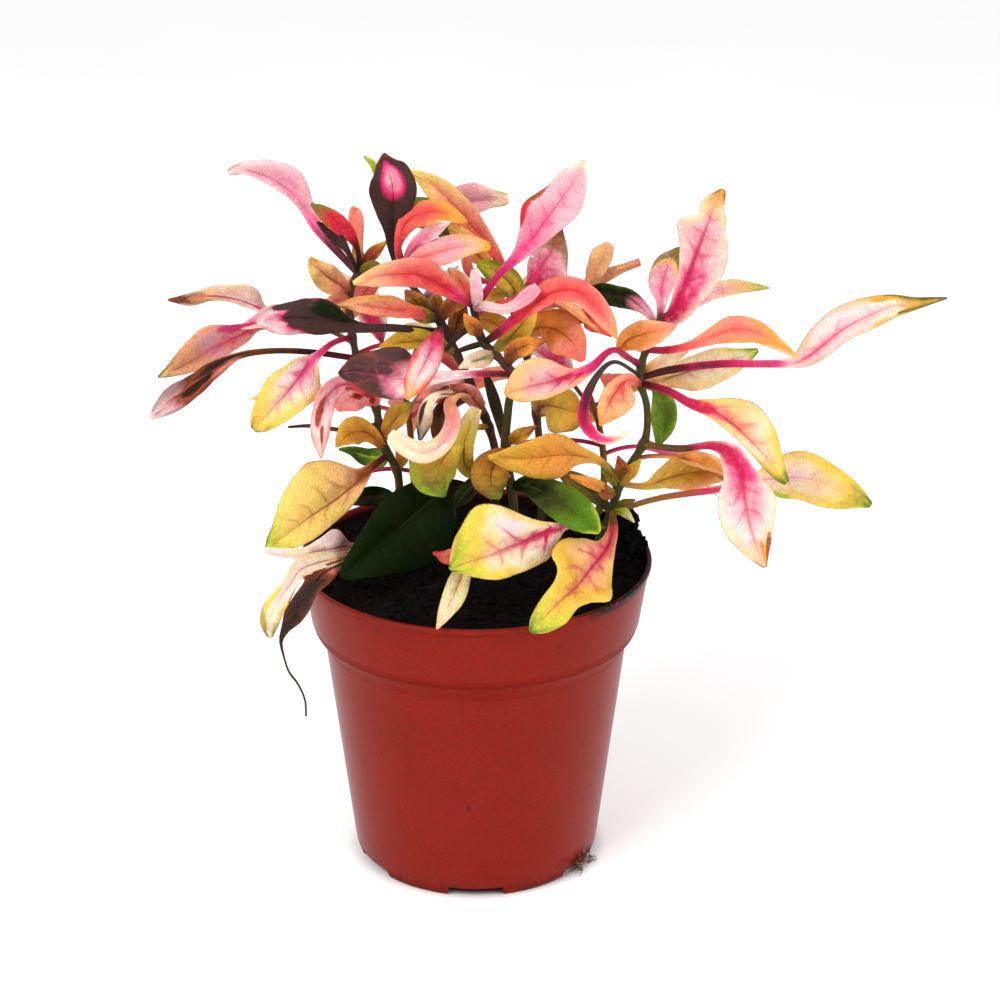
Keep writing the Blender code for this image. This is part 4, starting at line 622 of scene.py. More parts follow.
 538 624 -65 13 10, 531 632 -67 3 3
bract 0: 613 509 0 3 3, 624 512 -6 5 5, 634 522 -10 1 1
node_left 0: 618 488 -1 3 3, 609 472 -6 7 6, 600 457 -8 1 1
node_right 0: 620 486 -1 3 3, 631 471 -8 6 7, 641 459 -12 1 1
node_low 0: 617 494 -1 3 3, 606 492 -8 8 7, 596 484 -11 1 1
node_brown 0: 622 482 -1 3 3, 622 470 -8 8 8, 618 456 -10 1 1
node_point 0: 614 508 0 3 3, 624 503 -6 4 4, 635 500 -8 1 1
"""),
}

# The leaves that the picture hides: share of the stem, compass turn, length, rise and droop.
BACK_LEAVES = {
    "stem_left": ((0.68, -85, 46, 0.67, 0.70), (0.65, 50, 56, 0.25, 0.81)),
    "stem_upper_left": ((0.88, -30, 52, 0.21, 0.86),),
    "stem_centre": ((0.95, 85, 42, 0.63, 0.82),),
    "stem_top": ((0.59, 10, 54, 0.75, 0.44), (0.90, -60, 52, 0.82, 0.29)),
    "stem_right": ((0.47, 85, 48, 0.23, 0.75),),
    "stem_back_left": (
        (0.39, -80, 50, 0.21, 0.88), (0.98, -30, 56, 0.83, 0.31), (0.72, 0, 52, 0.28, 0.76),
        (0.78, -85, 56, 0.29, 0.22), (0.76, 55, 56, 0.41, 0.34), (0.96, 15, 50, 0.89, 0.88)),
    "stem_back_right": (
        (0.56, -15, 56, 0.32, 0.61), (0.87, 70, 50, 0.36, 0.26), (0.55, -75, 52, 0.25, 0.73),
        (0.49, 60, 48, 0.24, 0.77), (0.74, -35, 54, 0.71, 0.47), (0.75, 20, 50, 0.35, 0.45)),
}

# Colours of leaves and stalks, as a screen shows them.
PALETTE = {
    "white_pink": (246, 214, 210), "pale_pink": (238, 174, 182), "pink": (232, 136, 162),
    "hot": (226, 66, 128), "magenta": (200, 30, 84), "red": (214, 42, 54),
    "coral": (240, 94, 88), "salmon": (243, 142, 122), "peach": (246, 186, 128),
    "orange": (236, 148, 58), "ochre": (214, 158, 52), "yellow": (236, 200, 78),
    "lime": (176, 194, 48), "green": (84, 124, 24), "deep_green": (16, 32, 5),
    "olive": (122, 108, 34), "maroon": (68, 48, 44), "plum": (88, 22, 40),
    "brown": (116, 60, 28), "rust": (160, 78, 40), "cream": (246, 224, 190),
    "umber": (52, 32, 24), "butter": (244, 206, 108), "moss": (66, 66, 30),
}

# Other colours, as linear red, green and blue.
PAINTS = {
    "pot_deep": (0.235, 0.0055, 0.0015), "pot_bright": (0.265, 0.007, 0.002),
    "pot_mottle": (0.2, 0.017, 0.004), "pot_grain": (0.13, 0.01, 0.006),
    # The pot's inside colour is painted shade on its inward walls, and its step colour, below,
    # painted shade at the collar's step.
    "pot_dust": (0.035, 0.014, 0.012), "pot_inside": (0.006, 0.0035, 0.003),
    "pot_smear": (0.007, 0.004, 0.003), "pot_step": (0.09, 0.005, 0.004),
    "peat_dark": (0.0022, 0.002, 0.0022), "peat_grain": (0.014, 0.009, 0.007),
    "peat_lump": (0.02, 0.009, 0.006), "peat_fibre": (0.09, 0.05, 0.03),
    "root_dark": (0.03, 0.012, 0.009), "root_dry": (0.16, 0.06, 0.035),
    "root_pale": (0.45, 0.27, 0.22), "paper": (0.9, 0.9, 0.905),
    # The floor's darkest colour here is painted shade under the pot's foot.
    "paper_light": (0.92, 0.92, 0.92), "damp": (0.02, 0.016, 0.016),
    # The glint colour is a painted highlight on leaves.
    "white": (1.0, 1.0, 1.0), "glint": (1.0, 0.96, 0.95),
}

# A leaf's look: its ramp; its margin's and veins' colours and sizes; its spots. ramp: colours with
# their places from the root, 0, to the tip, 1. Sizes, where they aren't LOOK_SIZES: edge, glow and
# veins are how strong the margin's colour, the flush round the midrib and the side veins are, and
# rib is the width of the midrib's stripe. A spot is a colour, its place along and across, from -1
# at the left edge to 1 at the right, and its size.
# green_front's deep green at its root stands partly for painted shade.
LOOKS = read_looks("""
pale_top: plum 0, plum .2, hot .34, pink .5, pink .62, pale_pink .8, white_pink .92, salmon 1;
 white_pink pink .4 .35 .3 .8
red_green_tip: umber 0, plum .3, red .5, red .75, olive .9, green 1; coral magenta .3 .2 .3
orange_fold: olive 0, ochre .3, salmon .5, salmon 1; coral coral .5 .1 .3
apex_left: olive 0, ochre .5, brown 1; ochre brown .4 .1 .3
apex_right: brown 0, rust .5, ochre 1; ochre red .4 .3 .3
apex_low: olive 0, olive .6, brown 1; ochre brown .4 .1 .3
orange_up: rust 0, salmon .25, peach .5, peach .8, ochre 1; yellow rust .35 .1 .3
orange_low: rust 0, salmon .4, peach 1; ochre coral .4 .1 .3
pale_brown_tip: plum 0, hot .3, pink .48, white_pink .6, peach .78, brown .9, brown 1;
 cream hot .75 .3 .2
big_pink: plum 0, magenta .25, hot .42, salmon .54, pale_pink .66, peach .8, peach .9, green .99;
 salmon hot .5 .6 .35 1.3; hot .55 .8 .1
rolled_brown: plum 0, umber .3, brown .45, salmon .6, rust .74, rust .84, pale_pink .91,
 white_pink 1; umber plum .6 .2 .3; umber .62 .5 .12, umber .74 -.1 .1, umber .95 .2 .025
pale_magenta: plum 0, magenta .22, hot .36, white_pink .52, cream .66, yellow .85, olive .99;
 yellow hot .85 .6 .3 1.5; white_pink .6 .4 .1
dry_point: umber 0, brown .5, umber 1; brown umber .4 .1 .2
rust_curl: umber 0, red .2, coral .35, pale_pink .55, white_pink .8, salmon 1;
 coral magenta .5 .4 .3 .8; rust .45 -.5 .07, rust .72 .3 .1, rust .86 -.2 .06
big_yellow: umber 0, plum .1, rust .2, peach .34, butter .48, butter .84, lime .97, green 1;
 butter rust .25 .25 .55 .8
withered: umber 0, rust .3, peach .42, cream .54, white_pink .78, cream .9, olive 1;
 yellow rust .5 .1 .2 .6; rust .5 -.5 .07, brown .6 -.9 .06, yellow .86 .6 .06, brown .8 -.95 .05
withered_thread: umber 0, rust .2, peach .3, salmon .36, rust .42, umber .49, umber 1;
 rust umber .4 0 .3
ochre_small: rust 0, orange .4, ochre 1; yellow rust .4 .1
ochre_folded: rust 0, ochre .4, olive 1; ochre rust .4 .1
green_small: olive 0, green .35, deep_green .7, green 1; green lime .3 .1 .25
lollipop: maroon 0, maroon .92, brown 1; umber umber .2 .1 .1 .5; magenta .785 0 .165,
 hot .785 0 .145, pink .79 .05 .11, pale_pink .8 -.05 .06, pink .74 .1 .04
green_point: olive 0, olive .7, lime 1; lime olive .2 .1 .2
coral_orange: plum 0, red .2, coral .42, coral .72, orange .88, ochre 1; orange red .3 .3 .3
magenta_strip: rust 0, hot .3, pink .7, white_pink 1; white_pink magenta .5 .3
salmon: orange 0, peach .2, salmon .4, pale_pink .6, pale_pink .75, peach .88, ochre 1;
 salmon coral .5 .25 .3 1
orange_side: rust 0, orange .5, orange 1; yellow coral .4 .1 .4
peach_veins: plum 0, magenta .12, coral .35, salmon .6, peach .85, orange 1;
 orange coral .7 .5 .8 1.2
dark_pink_tip: umber 0, maroon .3, maroon .82, magenta .85, pink .88, white_pink .93, pale_pink 1;
 maroon plum .3 .05 .1 .6; deep_green .66 .6 .12, maroon .83 .9 .1, pale_pink .92 -.3 .05
pink_hanging: umber 0, maroon .2, plum .32, magenta .42, red .5, hot .58, pale_pink .68,
 white_pink .82, orange 1; red hot .85 .4 .4 1.4
yellow_behind: olive 0, olive .3, ochre .6, ochre 1; lime olive .5 .2
olive_left: umber 0, olive .5, rust 1; ochre brown .4 .2 .4
olive_right: umber 0, rust .5, olive 1; ochre brown .4 .2 .4
pinkish_small: maroon 0, pale_pink .5, cream 1; brown rust .8 .2 .4
cream_crescent: rust 0, peach .3, salmon .45, pale_pink .6, cream .76, cream 1;
 peach salmon .6 .25 .2 .8; brown .3 .8 .1
spotted: umber 0, brown .3, cream .5, cream .75, umber 1; peach rust .4 .1 .3 .4; rust .55 0 .09,
 umber .82 .5 .1
two_lobed: olive 0, ochre .25, yellow .5, ochre .68, olive .88, green 1; lime olive .45 .1 .45
dark_green_low: deep_green 0, deep_green 1; green olive .2 .1 .3
pinkish_brown: umber 0, salmon .5, rust 1; pale_pink brown .5 .2 .3
big_dark: umber 0, umber .1, deep_green .35, deep_green 1; deep_green moss .2 .05 .15 .4
coral_under: plum 0, magenta .2, hot .32, red .42, coral .54, coral .66, salmon .78, peach .9,
 butter 1; salmon red .4 .35 .3 1.2
round_dark: umber 0, plum .12, magenta .25, pink .36, white_pink .44, white_pink .68, pink .74,
 maroon .8, umber 1; rust hot .35 .4 .4 1.4; maroon .75 1 .12, magenta .62 .95 .04
big_pink_up: plum 0, magenta .15, hot .35, pink .52, pale_pink .7, pale_pink .88, cream 1;
 pale_pink hot .4 .5 .5 1.1; red .6 -1.05 .09, rust .72 -1.05 .08
crescent_left: white_pink 0, white_pink .4, pale_pink .7, white_pink 1; pink pale_pink .4 .2 .2
crescent_right: pale_pink 0, white_pink .3, pale_pink .7, pink .9, pale_pink 1;
 white_pink pale_pink .5 .2 .2
coral_arch: umber 0, plum .1, magenta .22, red .35, coral .5, coral .75, salmon .9, orange 1;
 salmon red .5 .45 .3 1.4
orange_brown: umber 0, rust .4, orange .7, rust 1; ochre brown .4 .1
yellow_mid: olive 0, ochre .5, yellow 1; lime olive .4 .1 .4
cream_triangle: olive 0, cream .5, cream 1; peach olive .4 .1 .3
pale_green_small: brown 0, ochre .5, rust 1; ochre brown .4 .1 .3
orange_brown_low: umber 0, rust .3, ochre .6, olive .9, green 1; rust brown .4 .1
green_front: deep_green 0, deep_green .3, moss .5, green .8, green .93, lime 1;
 green moss .35 .1 .4 .5
pale_pointed: olive 0, lime .3, butter .5, cream .8, peach 1; lime olive .5 .1 .5 1
red_bit: umber 0, red .4, salmon .8, red 1; coral red .5 .2 .4
peach_top: plum 0, magenta .12, coral .25, salmon .42, salmon .56, peach .72, butter .86, butter 1;
 peach coral .4 .3 .35
pale_wing: salmon 0, pink .3, pale_pink .5, pale_pink .82, cream .95, lime 1;
 pale_pink pink .4 .3 .3 .6
pink_olive_tip: plum 0, magenta .3, hot .42, pink .55, pale_pink .7, olive .8, brown 1;
 pale_pink hot .3 .5 .5 1
red_behind: plum 0, red .5, coral .8, coral 1; coral red .4 .2 .3
peach_twisted: rust 0, salmon .5, peach .72, peach 1; peach salmon .4 .2 .3
orange_red_large: rust 0, orange .25, orange .6, salmon .8, coral 1; orange rust .5 .2 .4 1
orange_yellow_behind: rust 0, ochre .3, yellow .6, ochre .85, olive 1; ochre rust .4 .15 .3
yellow_green_edge: olive 0, yellow .4, yellow .8, lime 1; green olive .8 .1 .4
big_upright: plum 0, magenta .15, hot .3, pink .44, pale_pink .56, pale_pink .76, peach .86,
 ochre .93, rust 1; cream magenta .6 .35 .5 1.7
pale_olive_tip: plum 0, pink .25, pale_pink .5, pale_pink .66, yellow .74, olive .8, olive 1;
 pale_pink hot .3 .3 .4 .8
pale_wing_right: magenta 0, pink .3, pale_pink .5, peach .75, lime .92, green 1;
 cream pink .5 .2 .3 .6
dark_green: plum 0, pale_pink .25, pink .42, deep_green .52, deep_green .9, rust 1;
 green maroon .3 .1 .3
orange_under: umber 0, rust .15, orange .35, orange .6, salmon 1; peach rust .5 .15 .3
coral_arch_right: plum 0, magenta .15, coral .32, salmon .5, salmon .66, orange .84, peach .95;
 orange coral .5 .4 .3 1.2
long_right: umber 0, plum .12, magenta .24, hot .38, pink .46, white_pink .56, white_pink .72,
 cream .8, ochre .87, olive .93, moss 1; ochre hot .55 .35 .3 1.2; olive .87 -.9 .06,
 ochre .81 -.7 .05, olive .9 .7 .05
cream_behind: olive 0, rust .15, peach .35, cream .6, cream .85, lime .94, green 1;
 yellow olive .55 .2 .2
droop_peach: plum 0, magenta .3, red .42, salmon .48, peach .58, cream .75, yellow .9, green 1;
 yellow magenta .5 .5 .3 1.4
pink_droop: olive 0, maroon .25, magenta .38, magenta .5, hot .56, pink .64, white_pink .8,
 peach .94, rust 1; cream magenta .75 .55 .6 2.2; rust .93 -.8 .06, orange .95 -.4 .06
ochre_right: olive 0, ochre .25, yellow .45, ochre .7, peach 1; peach rust .4 .15 .4 .6
yellow_far_right: olive 0, rust .25, magenta .4, salmon .5, cream .58, cream .74, yellow .88,
 green .99; yellow salmon .8 .2 .45 .6; lime .62 .95 .07, white_pink .66 0 .1
green_hanging: olive 0, green .4, green 1; lime olive .3 .1 .4
peach_mid: rust 0, coral .2, salmon .4, peach .7, orange 1; peach red .4 .5 .3 1.2
s_crescent: plum 0, maroon .15, maroon .5, plum .62, magenta .74, hot .84, cream .95, cream 1;
 plum plum .35 .2 .2 .8
pale_peach: plum 0, magenta .2, magenta .45, hot .54, salmon .64, pale_pink .74, peach .9, ochre 1;
 peach magenta .8 1.3 .5 2.6
ochre_left: olive 0, olive .12, ochre .3, orange .6, ochre .85, ochre 1; ochre rust .4 .1 .6 .6
orange_lobe: olive 0, orange .6, orange 1; ochre rust .4 .1 .4
yellow_front: olive 0, umber .12, magenta .26, hot .4, pale_pink .52, cream .64, cream .74,
 yellow .84, lime .94, green 1; yellow magenta .7 1 .45 2.6; white_pink .7 .5 .07,
 magenta .46 0 .05
ochre_lobed: olive 0, brown .12, coral .26, salmon .36, peach .46, ochre .6, yellow .82, lime .95,
 green 1; yellow magenta .4 .5 .35 1.2
bract: olive 0, lime .5, cream 1; lime olive .3 .1 .3
node_left: olive 0, olive .5, green 1; lime olive .3 .1 .3
node_right: olive 0, ochre .5, ochre 1; ochre rust .3 .1 .3
dark_small: umber 0, maroon .5, umber 1; plum umber .3 .1 .1
rust_flap: coral 0, salmon .3, pale_pink .7, salmon 1; coral red .5 .3 .3 .8; rust .66 -.1 .1,
 brown .67 -.1 .05
withered_wing: umber 0, rust .25, pale_pink .42, white_pink .6, cream .8, white_pink 1;
 white_pink rust .5 .1 .25 .6; salmon .4 .6 .06, rust .66 -.5 .08
gold_lobe: orange 0, orange .3, peach .6, ochre 1; yellow rust .5 .1 .3
coral_narrow: rust 0, coral .4, salmon .8, peach 1; peach red .4 .2 .3
pale_strip: olive 0, green .15, olive .3, ochre .5, yellow .8, cream 1; lime olive .5 .1 .4
peach_strip: rust 0, salmon .5, peach .8, salmon 1; peach salmon .4 .2 .2
olive_low: umber 0, olive .5, rust 1; ochre brown .4 .2 .3
brown_triangle: brown 0, rust .5, orange 1; ochre brown .4 .2 .3
stalk_a: maroon 0, umber 1; umber umber .2 .1 .1
stalk_b: moss 0, umber 1; umber umber .2 .1 .1
node_low: olive 0, rust .5, brown 1; ochre brown .4 .1 .3
node_brown: olive 0, brown .5, rust 1; ochre brown .4 .1 .3
node_point: moss 0, olive .6, brown 1; olive moss .4 .1 .2
dark_low: deep_green 0, deep_green .6, umber 1; deep_green umber .2 .05 .1
olive_by_stem: olive 0, ochre .5, olive 1; lime olive .3 .1 .25
stalk_c: moss 0, umber 1; umber umber .2 .1 .1
coral_behind: rust 0, coral .5, peach 1; peach red .4 .2 .3
yellow_under: brown 0, olive .35, ochre .6, rust 1; ochre brown .4 .1 .3
gold_under: olive 0, ochre .5, yellow 1; yellow olive .4 .1 .3
olive_below: umber 0, moss .3, olive .7, rust 1; olive moss .4 .1 .3
cream_fill: plum 0, ochre .3, cream .7, peach 1; yellow salmon .4 .2 .2
brown_curl: umber 0, umber .5, brown 1; rust umber .5 .1 .2
pale_under: rust 0, pale_pink .4, salmon .8, umber 1; cream rust .4 .1 .2 .8; brown .5 .1 .08
brown_upper: umber 0, brown .4, rust 1; ochre umber .4 .1 .3
rust_upper: umber 0, rust .5, ochre 1; ochre brown .4 .1 .3
""")

# Looks of the leaves at the back, dealt in turn.
BACK_LOOKS = ("big_pink", "ochre_left", "peach_veins", "pink_droop", "orange_under",
              "yellow_far_right", "coral_orange", "pale_peach", "green_front", "peach_top")

# A stalk's colours at its foot and its tip.
STALK_COLOURS = {
    "stem_left": ("moss", "maroon"), "stem_upper_left": ("umber", "maroon"),
    "stem_centre": ("moss", "maroon"), "stem_top": ("moss", "plum"),
    "stem_right": ("moss", "moss"), "stem_back_left": ("olive", "brown"),
    "stem_back_right": ("olive", "brown"),
}


def linear(name):
    """A named colour as linear red, green, blue and alpha."""
    if name in PAINTS:
        return (*PAINTS[name], 1.0)
    channels = [c / 255 for c in PALETTE[name]]
    return (*(c / 12.92 if c < 0.04045 else ((c + 0.055) / 1.055) ** 2.4 for c in channels), 1.0)


def unit(vectors):
    """Vectors scaled to length one."""
    return vectors / np.maximum(np.linalg.norm(vectors, axis=-1, keepdims=True), 1e-12)


def picture_spot(px, py, y):
    """The place in metres that a pixel shows, y millimetres behind the pot's axis."""
    ray = (VIEW_AHEAD * FOCAL_PIXELS + VIEW_UP * (PICTURE_MIDDLE - py)
           + Vector((px - PICTURE_MIDDLE, 0.0, 0.0)))
    return (VIEW_EYE + ray * ((y - VIEW_EYE.y) / ray.y) + POT_AXIS) * MM


def spline(points, samples=SPLINE_SAMPLES):
    """Rows of numbers along a smooth curve through the given rows."""
    first = [2 * a - b for a, b in zip(points[0], points[1])]
    last = [2 * a - b for a, b in zip(points[-1], points[-2])]
    knots = [first, *points, last]
    curve = []
    for i in range(1, len(knots) - 2):
        for step in range(samples):
            t = step / samples
            curve.append([
                0.5 * (2 * b + (c - a) * t + (2 * a - 5 * b + 4 * c - d) * t ** 2
                       + (3 * b - a - 3 * c + d) * t ** 3)
                for a, b, c, d in zip(*knots[i - 1:i + 3])
            ])
    curve.append(list(points[-1]))
    return curve


def stem_curve(stem):
    """The picture points along a stem's core."""
    return [Vector(p) for p in spline(STEMS[stem].points)]


def root_on(stem, px, py):
    """The picture point of a stem's core nearest to a pixel."""
    return min(stem_curve(stem), key=lambda p: (p.x - px) ** 2 + (p.y - py) ** 2)


def picture_stations(stem, leaf):
    """Rib, left edge and right edge of a leaf drawn in the picture, as places in metres."""
    px, py = leaf.points[0][:2]
    root = (*root_on(stem, px, py), *leaf.points[0][3:])
    curve = spline([root] + leaf.points[1:])
    stations = []
    for i, (px, py, y, left, right) in enumerate(curve):
        before = curve[max(i - 1, 0)]
        after = curve[min(i + 1, len(curve) - 1)]
        ahead = Vector((after[0] - before[0], after[1] - before[1])).normalized()
        share = i / (len(curve) - 1)
        edges = []
        for sign, half in ((-1, left), (1, right)):
            half = max(half, TIP_PIXELS)
            wide = min(1.0, half / WIDE_PIXELS)
            slope = math.tan(math.radians(FOLD + sign * leaf.roll) * wide)
            ripple = leaf.wave * wide * math.sin(WAVES * math.tau * share + sign)
            near = half / PIXELS_PER_MM * slope + ripple
            edges.append(picture_spot(px - sign * ahead.y * half, py + sign * ahead.x * half,
                                      y - near))
        stations.append((picture_spot(px, py, y), *edges))
    return stations


def back_stations(stem, leaf, tilt):
    """Stations of a leaf that the picture hides: it grows out at its turn and droops."""
    curve = stem_curve(stem)
    root = picture_spot(*curve[round(leaf.share * (len(curve) - 1))])
    turn = math.radians(leaf.turn)
    out = Vector((math.sin(turn), math.cos(turn), 0.0))
    side = Vector((out.y, -out.x, 0.0))
    stations = []
    for i in range(BACK_STATIONS + 1):
        s = i / BACK_STATIONS
        climb = Vector((0, 0, leaf.rise * s - leaf.droop * s * s))
        rib = root + (out * s + climb) * leaf.length * MM
        blade = max(0.0, (s - BACK_PETIOLE) / (1 - BACK_PETIOLE))
        swell = max(0.0, math.sin(math.pi * blade ** BACK_SHAPE[0])) ** BACK_SHAPE[1]
        half = BACK_WIDTH / 2 * swell
        half = max(half, PETIOLE_RADIUS if s < 0.5 else TIP_PIXELS / PIXELS_PER_MM)
        wide = min(1.0, half / BACK_WIDTH * BACK_WIDENS)
        ripple = math.sin(WAVES * math.tau * s + tilt)
        edges = []
        for sign in (-1, 1):
            lift = wide * (FOLD_LIFT * half + sign * (tilt * half + ripple))
            edges.append(rib + (side * sign * half + Vector((0, 0, lift))) * MM)
        stations.append((rib, *edges))
    return stations


def all_leaves(stem):
    """Name, look and stations of each leaf of a stem, as the part places them."""
    leaves = [(leaf.name, leaf.name, picture_stations(stem, leaf))
              for leaf in LEAVES.get(stem, [])]
    place = sorted(STEMS).index(stem)
    draw = random.Random(BACK_SEED + place)
    for i, numbers in enumerate(BACK_LEAVES[stem]):
        tilt = draw.uniform(-BACK_TILT, BACK_TILT)
        look = BACK_LOOKS[(i * BACK_LOOK_STEP + place) % len(BACK_LOOKS)]
        leaves.append((f"{stem}_back_{i}", look, back_stations(stem, BackLeaf(*numbers), tilt)))
    return leaves


def even_rows(stations):
    """ROWS even stations along a rib: rib, left and right places, and millimetres run."""
    ribs, lefts, rights = (np.array([tuple(s[k]) for s in stations]) for k in range(3))
    steps = np.linalg.norm(np.diff(ribs, axis=0), axis=1)
    run = np.concatenate([[0.0], np.cumsum(steps)])
    marks = np.linspace(0.0, run[-1], ROWS)
    return [np.stack([np.interp(marks, run, side[:, k]) for k in range(3)], -1)
            for side in (ribs, lefts, rights)], marks / MM


def leaf_noise(run, across, waves, seed, detail=0.0):
    """Noise over a leaf's rows and columns, with finer waves at a given strength."""
    values = np.empty((ROWS, COLUMNS))
    for i, j in np.ndindex(ROWS, COLUMNS):
        spot = Vector((run[i] * waves[0], across[j] * waves[1], seed * waves[2]))
        values[i, j] = noise.noise(spot) + detail * noise.noise(spot * CRINKLE_FINER)
    return values


def leaf_form(stations, seed):
    """Points of a leaf's two faces, and for each its place on the leaf for the material."""
    (rib, left, right), run = even_rows(stations)
    ahead = unit(np.gradient(rib, axis=0))
    face = unit(np.cross(right - left, ahead))
    across = np.array([-side for side in reversed(ACROSS)] + [0.0] + list(ACROSS))
    reach = np.abs(across)[None, :]
    edge = np.where((across < 0)[None, :, None], left[:, None], right[:, None])
    half = np.linalg.norm(edge - rib[:, None], axis=-1) / MM
    blade = np.clip((half - BLADE_FROM) / BLADE_OVER, 0.0, 1.0)
    middle = rib[:, None] + (edge - rib[:, None]) * reach[..., None]
    beside = reach * half
    share = (run / run[-1])[:, None] + 0 * beside

    spacing = VEIN_SPACING + VEIN_GROWTH * run[-1]
    phase = (run[:, None] - VEIN_SLANT * beside + VEIN_BOW * beside ** 2) / spacing
    phase = phase + VEIN_STAGGER * across[None, :]
    phase += VEIN_WANDER * leaf_noise(run, across, VEIN_NOISE, seed)
    near_vein = np.abs(phase - np.round(phase)) * spacing
    fade = (np.clip(reach * VEIN_FADE_IN, 0, 1)
            * np.clip((VEIN_FADE_END - reach) * VEIN_FADE_OUT, 0, 1))
    relief = ARCH * half * 4 * reach * (1 - reach)
    relief -= VEIN_DEPTH * np.exp(-(near_vein / VEIN_WIDTH) ** 2) * fade
    relief -= RIB_DEPTH * np.exp(-(beside / RIB_WIDTH) ** 2)
    crinkles = leaf_noise(run, across, CRINKLE_NOISE, seed, CRINKLE_DETAIL)
    relief += crinkles * (CRINKLE * reach ** 2 + GRAIN)
    surface = middle + (relief * blade * MM)[..., None] * face[:, None]

    stalk = np.minimum(half, PETIOLE_RADIUS)
    round_part = np.sqrt(np.clip(1 - (beside / np.maximum(stalk, 1e-6)) ** 2, 0, 1))
    leaf_part = np.sqrt(np.clip(1 - reach ** EDGE_ROUNDNESS, 0, 1)) * BLADE_THICKNESS / 2
    slim = 1 - PETIOLE_SLIMS * np.clip((share - 0.5) * 2, 0, 1) * blade
    top = np.maximum(round_part * stalk * (1 - blade), leaf_part)
    bottom = np.maximum(round_part * stalk * slim, leaf_part)
    upper = surface + top[..., None] * MM * face[:, None]
    lower = surface - bottom[..., None] * MM * face[:, None]
    place = np.stack([share, across[None, :] + 0 * share, half], -1)
    vein = np.stack([phase, beside, spacing + 0 * beside], -1)
    return upper, lower, place, vein


def ring_of(upper, lower):
    """A face's rows and its back's rows as closed rings: across the face, then back beneath."""
    return np.concatenate([upper, lower[:, -2:0:-1]], axis=1)


def mesh_object(name, points, faces, edges=()):
    """A smooth mesh as an object of the dressing."""
    mesh = bpy.data.meshes.new(name)
    mesh.from_pydata(points, edges, faces)
    mesh.shade_smooth()
    item = bpy.data.objects.new(name, mesh)
    bpy.data.collections[DRESSING].objects.link(item)
    return item


def ring_object(name, rings):
    """A mesh lofted through equal rings of points, with both ends capped."""
    rows, ring = rings.shape[:2]
    faces = []
    for a in range(0, (rows - 1) * ring, ring):
        b = a + ring
        faces += [(a + k, a + (k + 1) % ring, b + (k + 1) % ring, b + k) for k in range(ring)]
    faces.append(tuple(reversed(range(ring))))
    faces.append(tuple(range((rows - 1) * ring, rows * ring)))
    return mesh_object(name, rings.reshape(-1, 3).tolist(), faces)


def around_pot(points):
    """Places in metres of points given from the pot's axis."""
    return [tuple((Vector(point) + POT_AXIS) * MM) for point in points]


def set_attribute(mesh, name, values):
    """A vector for each point of a mesh, for its material to read."""
    attribute = mesh.attributes.new(name, "FLOAT_VECTOR", "POINT")
    values = np.ascontiguousarray(values.reshape(-1, 3), dtype=np.float32)
    attribute.data.foreach_set("vector", values.ravel())


def unwrap_rings(mesh, ring):
    """Lay a leaf's two faces side by side on the map that finished colours are kept on."""
    layer = mesh.uv_layers.new(name="OFBake")
    uv = []
    step = MAP_HEIGHT / (ROWS - 1)
    width = 1 / (COLUMNS - 1)
    for i in range(ROWS - 1):
        low, high = MAP_MARGIN + step * i, MAP_MARGIN + step * (i + 1)
        for k in range(ring):
            on_face = k < COLUMNS - 1
            start = MAP_MARGIN + (0.0 if on_face else MAP_HALF)
            t = (k if on_face else k - COLUMNS + 1) * width
            u0, u1 = start + MAP_WIDTH * t, start + MAP_WIDTH * (t + width)
            uv += [(u0, low), (u1, low), (u1, high), (u0, high)]
    for v, way in CAP_ROWS:
        uv += [(CAP_START + CAP_STEP * (k % CAP_ROW),
                v + way * (k // CAP_ROW)) for k in range(ring)]
    layer.data.foreach_set("uv", np.array(uv, dtype=np.float32).ravel())


def leaf_piece(name, stations, seed):
    """One leaf as a closed mesh object with its material's attributes."""
    upper, lower, place, vein = leaf_form(stations, seed)
    rings = ring_of(upper, lower)
    item = ring_object(name, rings)
    unwrap_rings(item.data, rings.shape[1])
    back = place * (1, 1, -1)
    set_attribute(item.data, "leaf", ring_of(place, back))
    set_attribute(item.data, "vein", ring_of(vein, vein))
    return item


class Wire:
    """A node's output, which plain arithmetic turns into Math nodes."""

    def __init__(self, tree, socket):
        self.tree = tree
        self.socket = socket

    def __add__(self, other):
        return self.tree.math("ADD", self, other)

    def __sub__(self, other):
        return self.tree.math("SUBTRACT", self, other)

    def __rsub__(self, other):
        return self.tree.math("SUBTRACT", other, self)

    def __mul__(self, other):
        return self.tree.math("MULTIPLY", self, other)

    def __truediv__(self, other):
        return self.tree.math("DIVIDE", self, other)

    def __pow__(self, power):
        return self.tree.math("POWER", self, power)

    def __abs__(self):
        return self.tree.math("ABSOLUTE", self)


